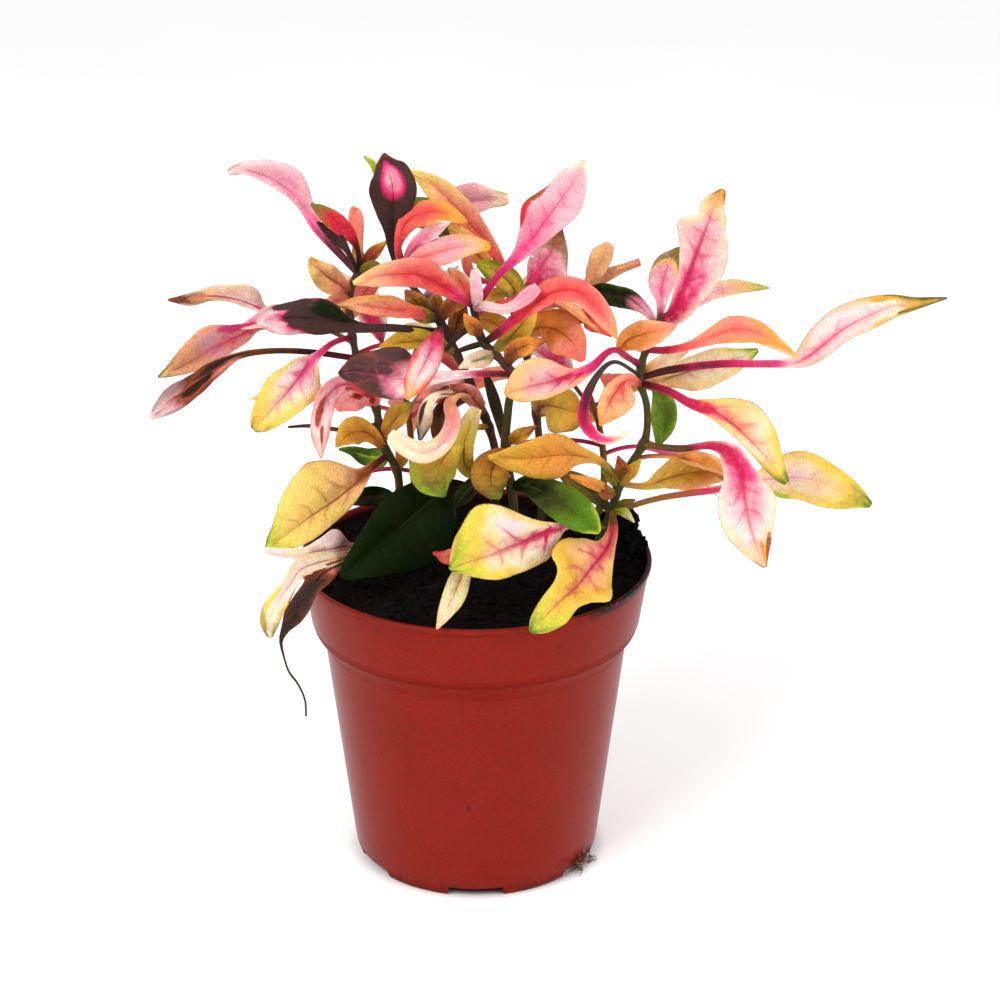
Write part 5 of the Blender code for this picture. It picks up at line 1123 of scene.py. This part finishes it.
class Tree:
    """A material's node tree, built by short calls that return wires."""

    def __init__(self, name):
        self.material = bpy.data.materials.new(name)
        self.material.use_nodes = True
        self.nodes = self.material.node_tree.nodes
        self.links = self.material.node_tree.links

    def set(self, item, key, value):
        """Give an input a number, a named colour or a wire."""
        if isinstance(value, Wire):
            self.links.new(value.socket, item.inputs[key])
        else:
            item.inputs[key].default_value = linear(value) if isinstance(value, str) else value

    def add(self, kind, inputs, output=0, **settings):
        """A node with its inputs set, as one of its outputs."""
        item = self.nodes.new("ShaderNode" + kind)
        for key, value in settings.items():
            setattr(item, key, value)
        for key, value in inputs.items():
            self.set(item, key, value)
        return Wire(self, item.outputs[output])

    def math(self, operation, *values):
        """A Math node."""
        return self.add("Math", dict(enumerate(values)), operation=operation)

    def span(self, value, low, high, a=0.0, b=1.0):
        """A value eased from a at low to b at high."""
        return self.add("MapRange", {0: value, 1: low, 2: high, 3: a, 4: b},
                        interpolation_type="SMOOTHSTEP")

    def mix(self, factor, a, b, blend="MIX"):
        """Two colours mixed."""
        return self.add("Mix", {0: factor, 6: a, 7: b}, output=2, data_type="RGBA",
                        blend_type=blend)

    def split(self, vector):
        """The three parts of a vector."""
        item = self.nodes.new("ShaderNodeSeparateXYZ")
        self.set(item, 0, vector)
        return [Wire(self, part) for part in item.outputs]

    def place(self):
        """Where a point lies in its object's own space."""
        return self.add("TexCoord", {}, output="Object")

    def noise(self, scale, detail=4.0, rough=0.55, where=None):
        """A noise's value over the object's own space, scale in waves a metre."""
        return self.add("TexNoise", {"Vector": where or self.place(), "Scale": scale,
                                     "Detail": detail, "Roughness": rough})

    def attribute(self, name):
        """The three parts of a mesh attribute."""
        return self.split(self.add("Attribute", {}, output="Vector", attribute_name=name))

    def ramp(self, value, text):
        """A colour ramp written as 'colour place, colour place'."""
        item = self.nodes.new("ShaderNodeValToRGB")
        stops = [stop.split() for stop in text.split(",")]
        elements = item.color_ramp.elements
        while len(elements) < len(stops):
            elements.new(1.0)
        for element, (_, place) in zip(elements, stops):
            element.position = float(place)
        for element, (colour, _) in zip(elements, stops):
            element.color = linear(colour)
        self.set(item, 0, value)
        return Wire(self, item.outputs[0])

    def finish(self, colour, roughness, height, depth, **sockets):
        """Set the shader's colour, roughness, bump and other sockets."""
        bump = self.add("Bump", {"Height": height, "Distance": depth, "Strength": 1.0})
        sockets |= {"Base_Color": colour, "Roughness": roughness, "Normal": bump}
        for key, value in sockets.items():
            self.set(self.nodes["Principled BSDF"], key.replace("_", " "), value)
        return self.material


def leaf_colour(tree, look, place, blade, broad, patch):
    """A leaf's ramp of colours, its margin and its spots."""
    along, across = place
    reach = abs(across)
    sway = (broad - 0.5) * RAMP_SWAY
    late = reach ** 2.0 * RAMP_LATE
    colour = tree.ramp((along + sway) + (late - RAMP_SHIFT), look.ramp)
    frayed = reach + (broad - 0.5) * MARGIN_FRAY
    margin = tree.span(frayed, *MARGIN_SPAN, 0.0, look.edge)
    colour = tree.mix(margin * blade, colour, look.margin)
    wash = tree.span(patch, *WASH_SPAN, 0.0, WASH)
    colour = tree.mix(wash * blade, colour, look.margin)
    for spot, spot_along, spot_across, size in look.spots:
        off = (along - spot_along) ** 2.0 + ((across - spot_across) * SPOT_FLATNESS) ** 2.0
        off = tree.math("SQRT", off) + sway * SPOT_FRAY[0] + (patch - 0.5) * SPOT_FRAY[1]
        near = tree.span(off, *(size * share for share in SPOT_SPAN), 1.0, 0.0)
        colour = tree.mix(near, colour, spot)
    return colour


def leaf_veins(tree, look, colour, place, blade, patch, net):
    """A leaf's colour with its flushed, striped midrib and its side veins, and their lines."""
    along, across = place
    reach = abs(across)
    phase, beside, spacing = tree.attribute("vein")
    gap = tree.math("PINGPONG", phase, 0.5) * spacing
    near = tree.span(gap, *FLUSH_NEAR_VEIN, 1.0, 0.0)
    reached = (reach - near * FLUSH_ALONG_VEIN) + (patch - 0.5) * FLUSH_FRAY
    flush = (tree.span(reached, *FLUSH_ACROSS, 1.0, 0.0)
             * tree.span(along, *FLUSH_ALONG, look.glow * FLUSH_STRENGTH, 0.0))
    colour = tree.mix(flush * blade, colour, look.vein)
    line = (tree.span(gap, *VEIN_LINE, 1.0, 0.0) * tree.span(reach, *VEIN_ACROSS, look.veins, 0.0)
            * tree.span(along, *VEIN_ALONG) * blade)
    strokes = tree.math("MAXIMUM", line, net * (look.veins * NET_STRENGTH))
    colour = tree.mix(strokes, colour, look.vein)
    width = tree.math("MAXIMUM", (RIB_ENDS - along) * look.rib, RIB_LEAST)
    stripe = tree.span(beside / width, *RIB_SPAN) * blade * tree.span(along, *RIB_ALONG)
    return tree.mix(stripe, colour, look.vein), line


def leaf_material(name, look, seed):
    """A leaf's skin: its colours and veins, a paler back, painted white highlights on its pale
    parts and a fine grain.
    """
    tree = Tree(name)
    *place, half = tree.attribute("leaf")
    where = tree.add("VectorMath", {0: tree.place(), 1: (*(seed * s for s in LEAF_SHIFT), 0.0)})
    broad = tree.noise(BROAD_WAVES, 3.0, where=where)
    patch = tree.noise(PATCH_WAVES, 4.0, 0.6, where=where)
    fine = tree.noise(FINE_WAVES, 4.0, where=where)
    net = tree.add("TexVoronoi", {"Vector": where, "Scale": NET_CELLS},
                   feature="DISTANCE_TO_EDGE")
    net = tree.span(net, 0.0, NET_LINE, 1.0, 0.0)
    blade = tree.span(abs(half), *BLADE_SPAN)
    colour = leaf_colour(tree, look, place, blade, broad, patch)
    colour, line = leaf_veins(tree, look, colour, place, blade, patch, net)
    pale = tree.mix(0.5, colour, "white", "SOFT_LIGHT")
    colour = tree.mix(tree.span(half, *BACK_SPAN, 1.0, 0.0), colour, pale)
    # Painted highlight: white glints painted in specks where the leaf's colour is pale.
    painted_glint_mask = (tree.span(tree.split(colour)[2], *PAINTED_GLINT_BLUE)
           * tree.span(tree.noise(GLINT_WAVES, 2.0, where=where), *PAINTED_GLINT_SPECK)
           * tree.span(broad, *PAINTED_GLINT_BROAD))
    colour = tree.mix(painted_glint_mask, colour, "glint")
    shade = tree.span(fine * 0.5 + patch * 0.5, *SHADE_SPAN)
    grey = tree.add("CombineColor", dict.fromkeys(range(3), shade))
    colour = tree.mix(1.0, colour, grey, "MULTIPLY")
    height = fine * FINE_RELIEF - tree.math("MAXIMUM", line * VEIN_RELIEF, net)
    gloss = LEAF_GLOSS[0] + LEAF_GLOSS[1] * min(1.0, linear(look.margin)[0] / PALE_RED)
    return tree.finish(colour, tree.span(patch, *LEAF_ROUGHNESS), height, LEAF_BUMP,
                       Subsurface_Weight=LEAF_GLOW, Subsurface_Scale=LEAF_GLOW_DEPTH,
                       Specular_IOR_Level=gloss)


def tube_rings(places, radii, sides, seed):
    """Rings round a line of places in metres, with radii in millimetres and a little uneven."""
    places = np.array([tuple(p) for p in places])
    ahead = unit(np.gradient(places, axis=0))
    across = np.empty_like(ahead)
    guide = np.array(TUBE_GUIDE)
    for i, way in enumerate(ahead):
        guide = guide - way * guide.dot(way)
        guide = guide / np.linalg.norm(guide)
        across[i] = guide
    third = np.cross(ahead, across)
    turns = np.linspace(0.0, math.tau, sides, endpoint=False)
    rings = np.empty((len(places), sides, 3))
    for i in range(len(places)):
        for k, turn in enumerate(turns):
            spot = Vector((math.cos(turn), math.sin(turn),
                           i * TUBE_NOISE_STEP + seed * TUBE_SEED_STEP))
            swell = 1 + TUBE_ROUGHNESS * noise.noise(spot * TUBE_NOISE)
            swell += TUBE_RIDGE_DEPTH * math.cos(TUBE_RIDGES * turn)
            rings[i, k] = places[i] + (across[i] * math.cos(turn) + third[i] * math.sin(turn)) * (
                radii[i] * swell * MM)
    return rings


def soil_height(x, y):
    """Height of the soil, x and y from the pot's axis, as in the part."""
    inward = 1 - (x * x + y * y) / COLLAR_FOOT_RADIUS ** 2
    place = Vector((x, y, SOIL_NOISE_LAYER))
    lumps = sum(height * noise.noise(place * waves) for waves, height in SOIL_LUMPS)
    heap = HEAP_HEIGHT * bell(x, y, HEAP_PLACE, HEAP_SPREAD)
    return SOIL_LEVEL + SOIL_MOUND * inward + lumps + heap


def bell(x, y, place, spread):
    """A smooth hump of height one at a place."""
    aside, behind = (x - place[0]) / spread[0], (y - place[1]) / spread[1]
    return math.exp(-aside * aside - behind * behind)


def stalk_piece(stem):
    """A stem's stalk: ridged, swollen where its leaves grow, rooted in the soil."""
    branch = STEMS[stem]
    curve = [picture_spot(*p) for p in spline(branch.points, STALK_SAMPLES)]
    foot = curve[0].copy()
    base = curve[0] / MM - POT_AXIS
    foot.z = (soil_height(base.x, base.y) - STALK_FOOT_DEPTH) * MM
    places = [foot.lerp(curve[0], t) for t in STALK_FOOT_STEPS] + curve
    roots = [picture_spot(*root_on(stem, *leaf.points[0][:2])) for leaf in LEAVES.get(stem, [])]
    radii = []
    for i, place in enumerate(places):
        share = i / (len(places) - 1)
        near = min([(place - root).length / MM for root in roots], default=math.inf)
        swell = NODE_SWELL * math.exp(-(near / NODE_REACH) ** 2)
        radii.append(branch.radius * STALK_SLIMMER * (1 - share)
                     + branch.tip_radius * TIP_SLIMMER * share + swell)
    item = ring_object(stem + "_stalk", tube_rings(places, radii, STALK_SIDES, len(stem)))
    shares = np.repeat(np.linspace(0.0, 1.0, len(places)), STALK_SIDES)
    turns = np.tile(np.linspace(0.0, 1.0, STALK_SIDES, endpoint=False), len(places))
    set_attribute(item.data, "leaf", np.stack([shares, turns, shares], -1))
    return item


def stalk_material(name, low, high):
    """A stalk's skin: one colour below, another above, with umber and rust in patches."""
    tree = Tree(name)
    along = tree.attribute("leaf")[0]
    broad = tree.noise(*STALK_BROAD)
    fine = tree.noise(*STALK_FINE)
    colour = tree.mix(tree.span(along + broad * 0.5, *STALK_RISE), low, high)
    colour = tree.mix(tree.span(fine, *STALK_UMBER), colour, "umber")
    colour = tree.mix(tree.span(broad, *STALK_RUST), colour, "rust")
    return tree.finish(colour, tree.span(fine, *STALK_ROUGHNESS), fine + broad, STALK_BUMP,
                       Specular_IOR_Level=STALK_GLOSS)


def apply_modifiers(item):
    """Replace an object's mesh by its modified mesh."""
    bpy.context.view_layer.update()
    depsgraph = bpy.context.evaluated_depsgraph_get()
    item.data = bpy.data.meshes.new_from_object(item.evaluated_get(depsgraph))
    item.modifiers.clear()
    shape = bmesh.new()
    shape.from_mesh(item.data)
    bmesh.ops.remove_doubles(shape, verts=shape.verts, dist=MERGE)
    bmesh.ops.recalc_face_normals(shape, faces=shape.faces)
    shape.to_mesh(item.data)
    shape.free()


def turned(name, profile):
    """A profile of (radius, height) points turned about the pot's axis."""
    count = len(profile)
    edges = [(i, (i + 1) % count) for i in range(count)]
    item = mesh_object(name, [(r * MM, 0.0, z * MM) for r, z in profile], [], edges)
    screw = item.modifiers.new("turn", "SCREW")
    screw.steps = POT_STEPS
    screw.render_steps = POT_STEPS
    screw.use_merge_vertices = True
    screw.merge_threshold = TURN_MERGE
    apply_modifiers(item)
    return item


def wall_radius(height):
    """Outer radius of the pot's body below the collar."""
    share = height / (POT_HEIGHT - COLLAR_HEIGHT - COLLAR_SLANT)
    return FOOT_RADIUS + (BODY_TOP_RADIUS - FOOT_RADIUS) * share


def rounded(points, radius, steps=4):
    """A closed outline with each corner cut by a small arc."""
    result = []
    for i, corner in enumerate(points):
        corner = Vector(corner)
        sides = [Vector(points[i - 1]) - corner, Vector(points[(i + 1) % len(points)]) - corner]
        cut = min(radius, *(side.length * CORNER_SHARE for side in sides))
        start, end = (corner + side.normalized() * cut for side in sides)
        for step in range(steps + 1):
            t = step / steps
            result.append(tuple(start.lerp(corner, t).lerp(corner.lerp(end, t), t)))
    return result


def pot_profile():
    """The pot's section, outer side first, from the rim down and back up inside."""
    step = POT_HEIGHT - COLLAR_HEIGHT
    floor = FOOT_RING_HEIGHT
    return [
        (RIM_RADIUS, POT_HEIGHT),
        (RIM_RADIUS, POT_HEIGHT - LIP_HEIGHT),
        (RIM_RADIUS - 0.9, POT_HEIGHT - LIP_HEIGHT - 0.9),
        (COLLAR_FOOT_RADIUS + 0.4, step + 1.0),
        (COLLAR_FOOT_RADIUS - 0.6, step - 2.0),
        (BODY_TOP_RADIUS + 1.0, step - 5.6),
        (BODY_TOP_RADIUS, step - COLLAR_SLANT),
        (wall_radius(7.0), 7.0),
        (wall_radius(3.5) - 0.1, 3.5),
        (FOOT_RADIUS - 0.6, 0.8),
        (FOOT_RADIUS - 1.2, 0.0),
        (FOOT_RADIUS - 2.4, 0.0),
        (FOOT_RADIUS - 2.7, floor),
        (DRAIN_RADIUS, floor),
        (DRAIN_RADIUS, floor + POT_WALL),
        (FOOT_RADIUS - 3.0, floor + POT_WALL),
        (wall_radius(8.0) - POT_WALL, 8.0),
        (BODY_TOP_RADIUS - POT_WALL, step - COLLAR_SLANT + 0.4),
        (BODY_TOP_RADIUS - POT_WALL + 1.0, step - 4.6),
        (COLLAR_FOOT_RADIUS - POT_WALL - 0.6, step - 1.0),
        (COLLAR_FOOT_RADIUS - POT_WALL, step + 0.8),
        (RIM_RADIUS - POT_WALL - 1.0, POT_HEIGHT - LIP_HEIGHT),
        (RIM_RADIUS - POT_WALL - 0.3, POT_HEIGHT),
    ]


def add_cutter(kind, size, place, turn):
    """A box or a cylinder, sized in millimetres, turned about the pot's own axis."""
    if kind == "box":
        bpy.ops.mesh.primitive_cube_add(size=1.0)
    else:
        bpy.ops.mesh.primitive_cylinder_add(vertices=DRAIN_STEPS, radius=0.5, depth=1.0)
    item = bpy.context.object
    item.data.transform(Matrix.Diagonal((*(Vector(size) * MM), 1.0)))
    item.data.transform(Matrix.Translation(Vector(place) * MM))
    item.data.transform(Matrix.Rotation(turn, 4, "Z"))
    for home in list(item.users_collection):
        home.objects.unlink(item)
    bpy.data.collections[CUTTERS].objects.link(item)


def pot_piece():
    """The pot: turned, with foot notches and drain holes, and slightly out of true."""
    pot = turned("nursery_pot", rounded(pot_profile(), POT_CORNER))
    notch = (NOTCH_WIDTH, RIM_RADIUS * 2, NOTCH_HEIGHT * 2)
    drain = (DRAIN_RADIUS * 2, DRAIN_RADIUS * 2, POT_WALL + 3)
    turns = [math.tau * i / FOOT_NOTCHES for i in range(FOOT_NOTCHES)]
    for turn in turns[:FOOT_NOTCHES // 2]:
        add_cutter("box", notch, (0, 0, 0), turn)
    for turn in turns:
        add_cutter("round", drain, (0, -DRAIN_CIRCLE, FOOT_RING_HEIGHT + POT_WALL / 2), turn)
    boolean = pot.modifiers.new("cuts", "BOOLEAN")
    boolean.operand_type = "COLLECTION"
    boolean.collection = bpy.data.collections[CUTTERS]
    boolean.operation = "DIFFERENCE"
    boolean.solver = "EXACT"
    apply_modifiers(pot)
    for item in list(bpy.data.collections[CUTTERS].objects):
        bpy.data.objects.remove(item, do_unlink=True)
    for vert in pot.data.vertices:
        height = vert.co.z / (POT_HEIGHT * MM)
        turn = math.atan2(vert.co.y, vert.co.x)
        squeeze = 1 - sum(share * height * (1 + math.sin(lobes * turn + phase))
                          for share, lobes, phase in POT_SQUEEZES)
        vert.co.x *= squeeze
        vert.co.y *= squeeze
    pot.data.transform(Matrix.Translation(POT_AXIS * MM))
    pot.data.shade_smooth()
    pot.data.set_sharp_from_angle(angle=math.radians(SHARP_DEGREES))
    return pot


def pot_material():
    """Terracotta-red moulded plastic: mottled, scuffed, with peat dust at rim and foot, painted
    shade on its inward walls and a dark line of painted shade at the collar's step.
    """
    tree = Tree("pot_plastic_skin")
    x, y, z = tree.split(tree.place())
    beside, behind = x - POT_AXIS.x * MM, y - POT_AXIS.y * MM
    share = z * (1 / (POT_HEIGHT * MM))
    normal = tree.split(tree.add("TexCoord", {}, output="Normal"))
    broad = tree.noise(*POT_BROAD)
    fine = tree.noise(*POT_FINE)
    grit = tree.noise(*POT_GRIT)
    colour = tree.mix(tree.span(broad, *POT_SHADES), "pot_deep", "pot_bright")
    colour = tree.mix(tree.span(tree.noise(*MOTTLE_WAVES), *POT_MOTTLE), colour, "pot_mottle")
    colour = tree.mix(tree.span(fine, *POT_GRAIN), colour, "pot_grain")
    ends = tree.span(share, *DUST_AT_FOOT) + tree.span(share, *DUST_AT_RIM)
    dust = ends * tree.span(grit, *DUST_SPAN)
    speck = tree.span(tree.noise(*SPECK_WAVES), *SPECK_SPAN)
    colour = tree.mix(tree.math("MAXIMUM", dust, speck), colour, "pot_dust")
    # Painted shade: inward-facing walls below the rim's top, inside the pot and round the foot
    # ring, turn near black.
    outward = beside * normal[0] + behind * normal[1]
    inside = tree.span(outward, *INSIDE_SHADE_TURN) * tree.span(share, *INSIDE_SHADE_TOP)
    colour = tree.mix(inside, colour, "pot_inside")
    smear = tree.span(beside, *SMEAR_ASIDE) * tree.span(share, *SMEAR_UP)
    colour = tree.mix(smear * tree.span(grit, *SMEAR_SPAN), colour, "pot_smear")
    # Painted shade: a thin dark band of colour where the collar steps out.
    step = tree.span(abs(share - POT_STEP_SHARE), *STEP_SHADE_SPAN)
    colour = tree.mix(step, colour, "pot_step")
    ridges = tree.math("SINE", z * MOULD_RIDGES)
    height = fine * FINE_RELIEF + ridges * MOULD_RIDGE_RELIEF
    return tree.finish(colour, tree.span(grit, *POT_ROUGHNESS), height, POT_BUMP,
                       Specular_IOR_Level=POT_GLOSS, Coat_Roughness=COAT_ROUGHNESS,
                       Coat_IOR=COAT_IOR, Coat_Weight=tree.span(normal[2], *COAT_TURN))


def soil_top(x, y):
    """Height of the dressed soil, x and y from the pot's axis."""
    place = Vector((x, y, SOIL_NOISE_LAYER))
    grains = sum(height * noise.noise(place * waves) for waves, height in SOIL_GRAINS)
    return soil_height(x, y) + grains


def soil_rim():
    """Inner radius of the pot at the soil's level, less a small gap."""
    share = (SOIL_LEVEL - (POT_HEIGHT - COLLAR_HEIGHT)) / (COLLAR_HEIGHT - LIP_HEIGHT)
    wall = COLLAR_FOOT_RADIUS + (RIM_RADIUS - 1.0 - COLLAR_FOOT_RADIUS) * share
    return wall - POT_WALL - SOIL_GAP


def soil_piece():
    """Peat: a lumpy top over a plain block that fills the pot."""
    rim = soil_rim()
    rings = [(rim * i / SOIL_RINGS, None, 0.5 * (i % 2)) for i in range(1, SOIL_RINGS + 1)]
    side = [(COLLAR_FOOT_RADIUS - 1.8, 89.0), (COLLAR_FOOT_RADIUS - 2.4, 87.2),
            (BODY_TOP_RADIUS - 1.7, 80.5), (wall_radius(9.0) - 1.7, 9.0),
            (FOOT_RADIUS - 3.8, 5.7)]
    rings += [(radius, z, 0.5 * (SOIL_RINGS % 2)) for radius, z in side]
    points = []
    for radius, z, shift in rings:
        for k in range(SOIL_TURNS):
            turn = math.tau * (k + shift) / SOIL_TURNS
            x, y = radius * math.cos(turn), radius * math.sin(turn)
            points.append((x, y, soil_top(x, y) if z is None else z))
    faces = []
    for a in range(0, len(points) - SOIL_TURNS, SOIL_TURNS):
        b = a + SOIL_TURNS
        for k in range(SOIL_TURNS):
            beyond = (k + 1) % SOIL_TURNS
            faces.append((a + k, b + k, b + beyond, a + beyond))
    faces.append(tuple(range(SOIL_TURNS)))
    faces.append(tuple(reversed(range(len(points) - SOIL_TURNS, len(points)))))
    return mesh_object("peat_top", around_pot(points), faces)


def lump(rng, x, y, z, size):
    """Points and faces of one uneven crumb at a place from the pot's axis."""
    shape = bmesh.new()
    bmesh.ops.create_icosphere(shape, subdivisions=1, radius=1.0)
    seed = rng.uniform(0, 90)
    scale = Vector([size * rng.uniform(*LUMP_STRETCH) for _ in range(3)])
    turn = Matrix.Rotation(rng.uniform(0, math.tau), 3, (rng.random(), rng.random(), 1.0))
    points = []
    for vert in shape.verts:
        swell = 1 + LUMP_SWELL * noise.noise(vert.co * LUMP_WAVES + Vector((seed, 0, 0)))
        points.append(turn @ (vert.co * swell * scale) + Vector((x, y, z)))
    faces = [tuple(v.index for v in face.verts) for face in shape.faces]
    shape.free()
    return points, faces


def lumps_object(name, lumps):
    """One mesh object of many lumps, given as points and faces."""
    points, faces = [], []
    for corners, sides in lumps:
        faces += [tuple(len(points) + i for i in side) for side in sides]
        points += corners
    return mesh_object(name, around_pot(points), faces)


def loose_crumbs():
    """Crumbs of peat: some lie by the heap, and some move to the clods at the rim."""
    rng = random.Random(CRUMB_SEED)
    for i in range(CRUMBS):
        turn = rng.uniform(0, math.tau)
        radius = CRUMB_REACH * math.sqrt(rng.random())
        x, y = radius * math.cos(turn), radius * math.sin(turn)
        if i % HEAP_EVERY == 0:
            x, y = (rng.gauss(*spot) for spot in zip(HEAP_PLACE, HEAP_CRUMBS))
        if math.hypot(x, y) > CRUMB_REACH:
            continue
        size = rng.uniform(*CRUMB_SIZES) * (BIG_CRUMB if rng.random() < BIG_CRUMB_SHARE else 1.0)
        level = soil_top(x, y) + size * CRUMB_SUNK
        if i % CLOD_EVERY == 0:
            x, y = (rng.gauss(*spot) for spot in zip(CLOD_PLACE, CLOD_SCATTER))
            if math.hypot(x, y) > RIM_RADIUS - CLOD_INSET:
                continue
            pile = CLOD_HEIGHT * bell(x, y, CLOD_PLACE, CLOD_SPREAD)
            level = POT_HEIGHT - CLOD_SUNK + rng.random() * pile
            size *= CLOD_SIZE
        yield lump(rng, x, y, level, size)


def soil_material():
    """Moist peat: near black, with browner crumbs and a few pale fibres."""
    tree = Tree("peat_skin")
    grain = tree.noise(*PEAT_GRAIN)
    lumps = tree.noise(*PEAT_LUMPS)
    colour = tree.mix(tree.span(grain, *PEAT_SHADES), "peat_dark", "peat_grain")
    colour = tree.mix(tree.span(lumps, *PEAT_BROWN), colour, "peat_lump")
    colour = tree.mix(tree.span(tree.noise(*PEAT_FIBRES), *FIBRE_SPAN), colour, "peat_fibre")
    return tree.finish(colour, tree.span(grain, *PEAT_ROUGHNESS), grain + lumps * 2.0, PEAT_BUMP,
                       Specular_IOR_Level=PEAT_GLOSS)


def root_crumbs(rng, turn):
    """Crumbs of peat that cling to the roots."""
    for _ in range(ROOT_CRUMBS):
        spot = turn @ Vector((rng.gauss(*ROOT_CRUMB_ASIDE), -rng.uniform(*ROOT_CRUMB_RADII), 0))
        yield lump(rng, spot.x, spot.y, rng.uniform(*ROOT_CRUMB_HEIGHTS),
                   rng.uniform(*ROOT_CRUMB_SIZES))


def roots_piece():
    """Fine roots that come out of the foot's notch, round the strands of the part."""
    rng = random.Random(ROOT_SEED)
    turn = Matrix.Rotation(math.tau * ROOT_NOTCH / FOOT_NOTCHES, 3, "Z")
    parts = []
    for strand in ROOT_STRANDS:
        for copy in range(ROOT_COPIES):
            points = []
            for i, (x, r, z) in enumerate(strand):
                loose = ROOT_LOOSE + ROOT_LOOSENS * i
                spot = Vector((x + rng.uniform(-loose, loose), -r + rng.uniform(-loose, loose),
                               max(LOWEST_ROOT, z + rng.uniform(-loose, loose))))
                points.append(turn @ spot)
            places = spline(around_pot(points), ROOT_SAMPLES)
            radii = np.linspace(*ROOT_RADII, len(places)) * rng.uniform(*ROOT_SLIMS)
            parts.append(ring_object("root", tube_rings(places, radii, ROOT_SIDES, copy)))
    parts.append(lumps_object("root_crumbs", root_crumbs(rng, turn)))
    with bpy.context.temp_override(active_object=parts[0], selected_editable_objects=parts,
                                   selected_objects=parts):
        bpy.ops.object.join()
    parts[0].name = parts[0].data.name = "foot_roots"
    return parts[0]


def root_material():
    """Dry brown roots with peat clinging to them."""
    tree = Tree("root_skin")
    grain = tree.noise(*ROOT_GRAIN)
    colour = tree.mix(tree.span(grain, *ROOT_SHADES), "root_dark", "root_dry")
    colour = tree.mix(tree.span(tree.noise(*ROOT_PATCHES), *ROOT_PALE), colour, "root_pale")
    return tree.finish(colour, tree.span(grain, *ROOT_ROUGHNESS), grain, ROOT_BUMP)


def dress(item, material, node):
    """Give a piece its material and its place on the body, and hide the CAD node it stands for."""
    item.data.materials.clear()
    item.data.materials.append(material)
    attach(item, "root")
    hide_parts(node)


def make_plant():
    """Stalks and leaves of every stem."""
    seed = 1
    for stem in STEMS:
        skin = stalk_material(stem + "_stalk_skin", *STALK_COLOURS[stem])
        dress(stalk_piece(stem), skin, stem)
        for name, look, stations in all_leaves(stem):
            leaf = leaf_piece("leaf_" + name, stations, seed)
            dress(leaf, leaf_material("skin_" + name, LOOKS[look], seed), stem)
            seed += 1


def make_pot_and_soil():
    """The pot, the peat with its crumbs, and the roots at the foot."""
    dress(pot_piece(), pot_material(), "pot")
    peat = soil_material()
    dress(soil_piece(), peat, "soil")
    dress(lumps_object("peat_crumbs", loose_crumbs()), peat, "soil")
    dress(roots_piece(), root_material(), "drain_roots")


def make_floor():
    """A plain pale floor with painted shade under the pot's foot, that glows a little round it."""
    bpy.ops.mesh.primitive_plane_add(size=FLOOR_SIZE, location=(0.0, FLOOR_SHIFT, -FLOOR_DROP))
    floor = bpy.context.object
    floor.name = "floor"
    tree = Tree("floor_paper")
    grain = tree.noise(*PAPER_WAVES)
    colour = tree.mix(tree.span(grain, *PAPER_SHADES), "paper", "paper_light")
    x, y, _ = tree.split(tree.place())
    beside = x - POT_AXIS.x * MM
    behind = y - (POT_AXIS.y * MM - FLOOR_SHIFT)
    away = tree.math("SQRT", beside ** 2.0 + behind ** 2.0)
    # Painted shade: the floor under the pot's foot turns near black.
    colour = tree.mix(tree.span(away, *FLOOR_SHADE), colour, "damp")
    glow = tree.span(away, *FLOOR_GLOW)
    paper = tree.finish(colour, PAPER_ROUGHNESS, grain, PAPER_BUMP, Specular_IOR_Level=PAPER_GLOSS,
                        Emission_Color="white", Emission_Strength=glow)
    floor.data.materials.append(paper)


def make_lamp(name, place, size, power, colour):
    """A soft square lamp at a place in metres, turned to LAMP_AIM."""
    data = bpy.data.lights.new(name, "AREA")
    data.shape = "SQUARE"
    data.size = size
    data.energy = power
    data.color = colour
    lamp = bpy.data.objects.new(name, data)
    lamp.location = place
    lamp.rotation_euler = (Vector(LAMP_AIM) - Vector(place)).to_track_quat("-Z", "Y").to_euler()
    bpy.context.scene.collection.objects.link(lamp)


def make_stage():
    """Floor, world light, lamps and the camera at the photograph's view."""
    scene = bpy.context.scene
    make_floor()
    world = bpy.data.worlds.new("studio")
    world.use_nodes = True
    background = world.node_tree.nodes["Background"].inputs
    background["Color"].default_value = linear("white")
    background["Strength"].default_value = WORLD_LIGHT
    scene.world = world
    for name, lamp in LAMPS.items():
        make_lamp(name, *lamp)
    data = bpy.data.cameras.new("camera")
    data.sensor_width = SENSOR_WIDTH
    data.lens = FOCAL_PIXELS * SENSOR_WIDTH / PICTURE_WIDTH
    camera = bpy.data.objects.new("camera", data)
    camera.location = (VIEW_EYE + POT_AXIS) * MM
    camera.rotation_euler = (math.pi / 2 - VIEW_TILT, 0.0, 0.0)
    scene.collection.objects.link(camera)
    scene.camera = camera
    scene.view_settings.view_transform = "Standard"


def box_lists(box):
    """A bounding box as plain lists of numbers."""
    return [[float(v) for v in corner] for corner in box]


def keep_inside(pieces, box):
    """Move the corners of some pieces that stray out of a box back onto it."""
    for piece in pieces:
        corners = piece.data.vertices
        places = np.empty(3 * len(corners))
        corners.foreach_get("co", places)
        corners.foreach_set("co", np.clip(places.reshape(-1, 3), box[0], box[1]).ravel())


def main():
    """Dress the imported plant."""
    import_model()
    cad_box = box_lists(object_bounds())
    for name in (DRESSING, CUTTERS):
        bpy.context.scene.collection.children.link(bpy.data.collections.new(name))
    make_plant()
    keep_inside(bpy.data.collections[DRESSING].objects, cad_box)
    make_pot_and_soil()
    make_stage()


main()
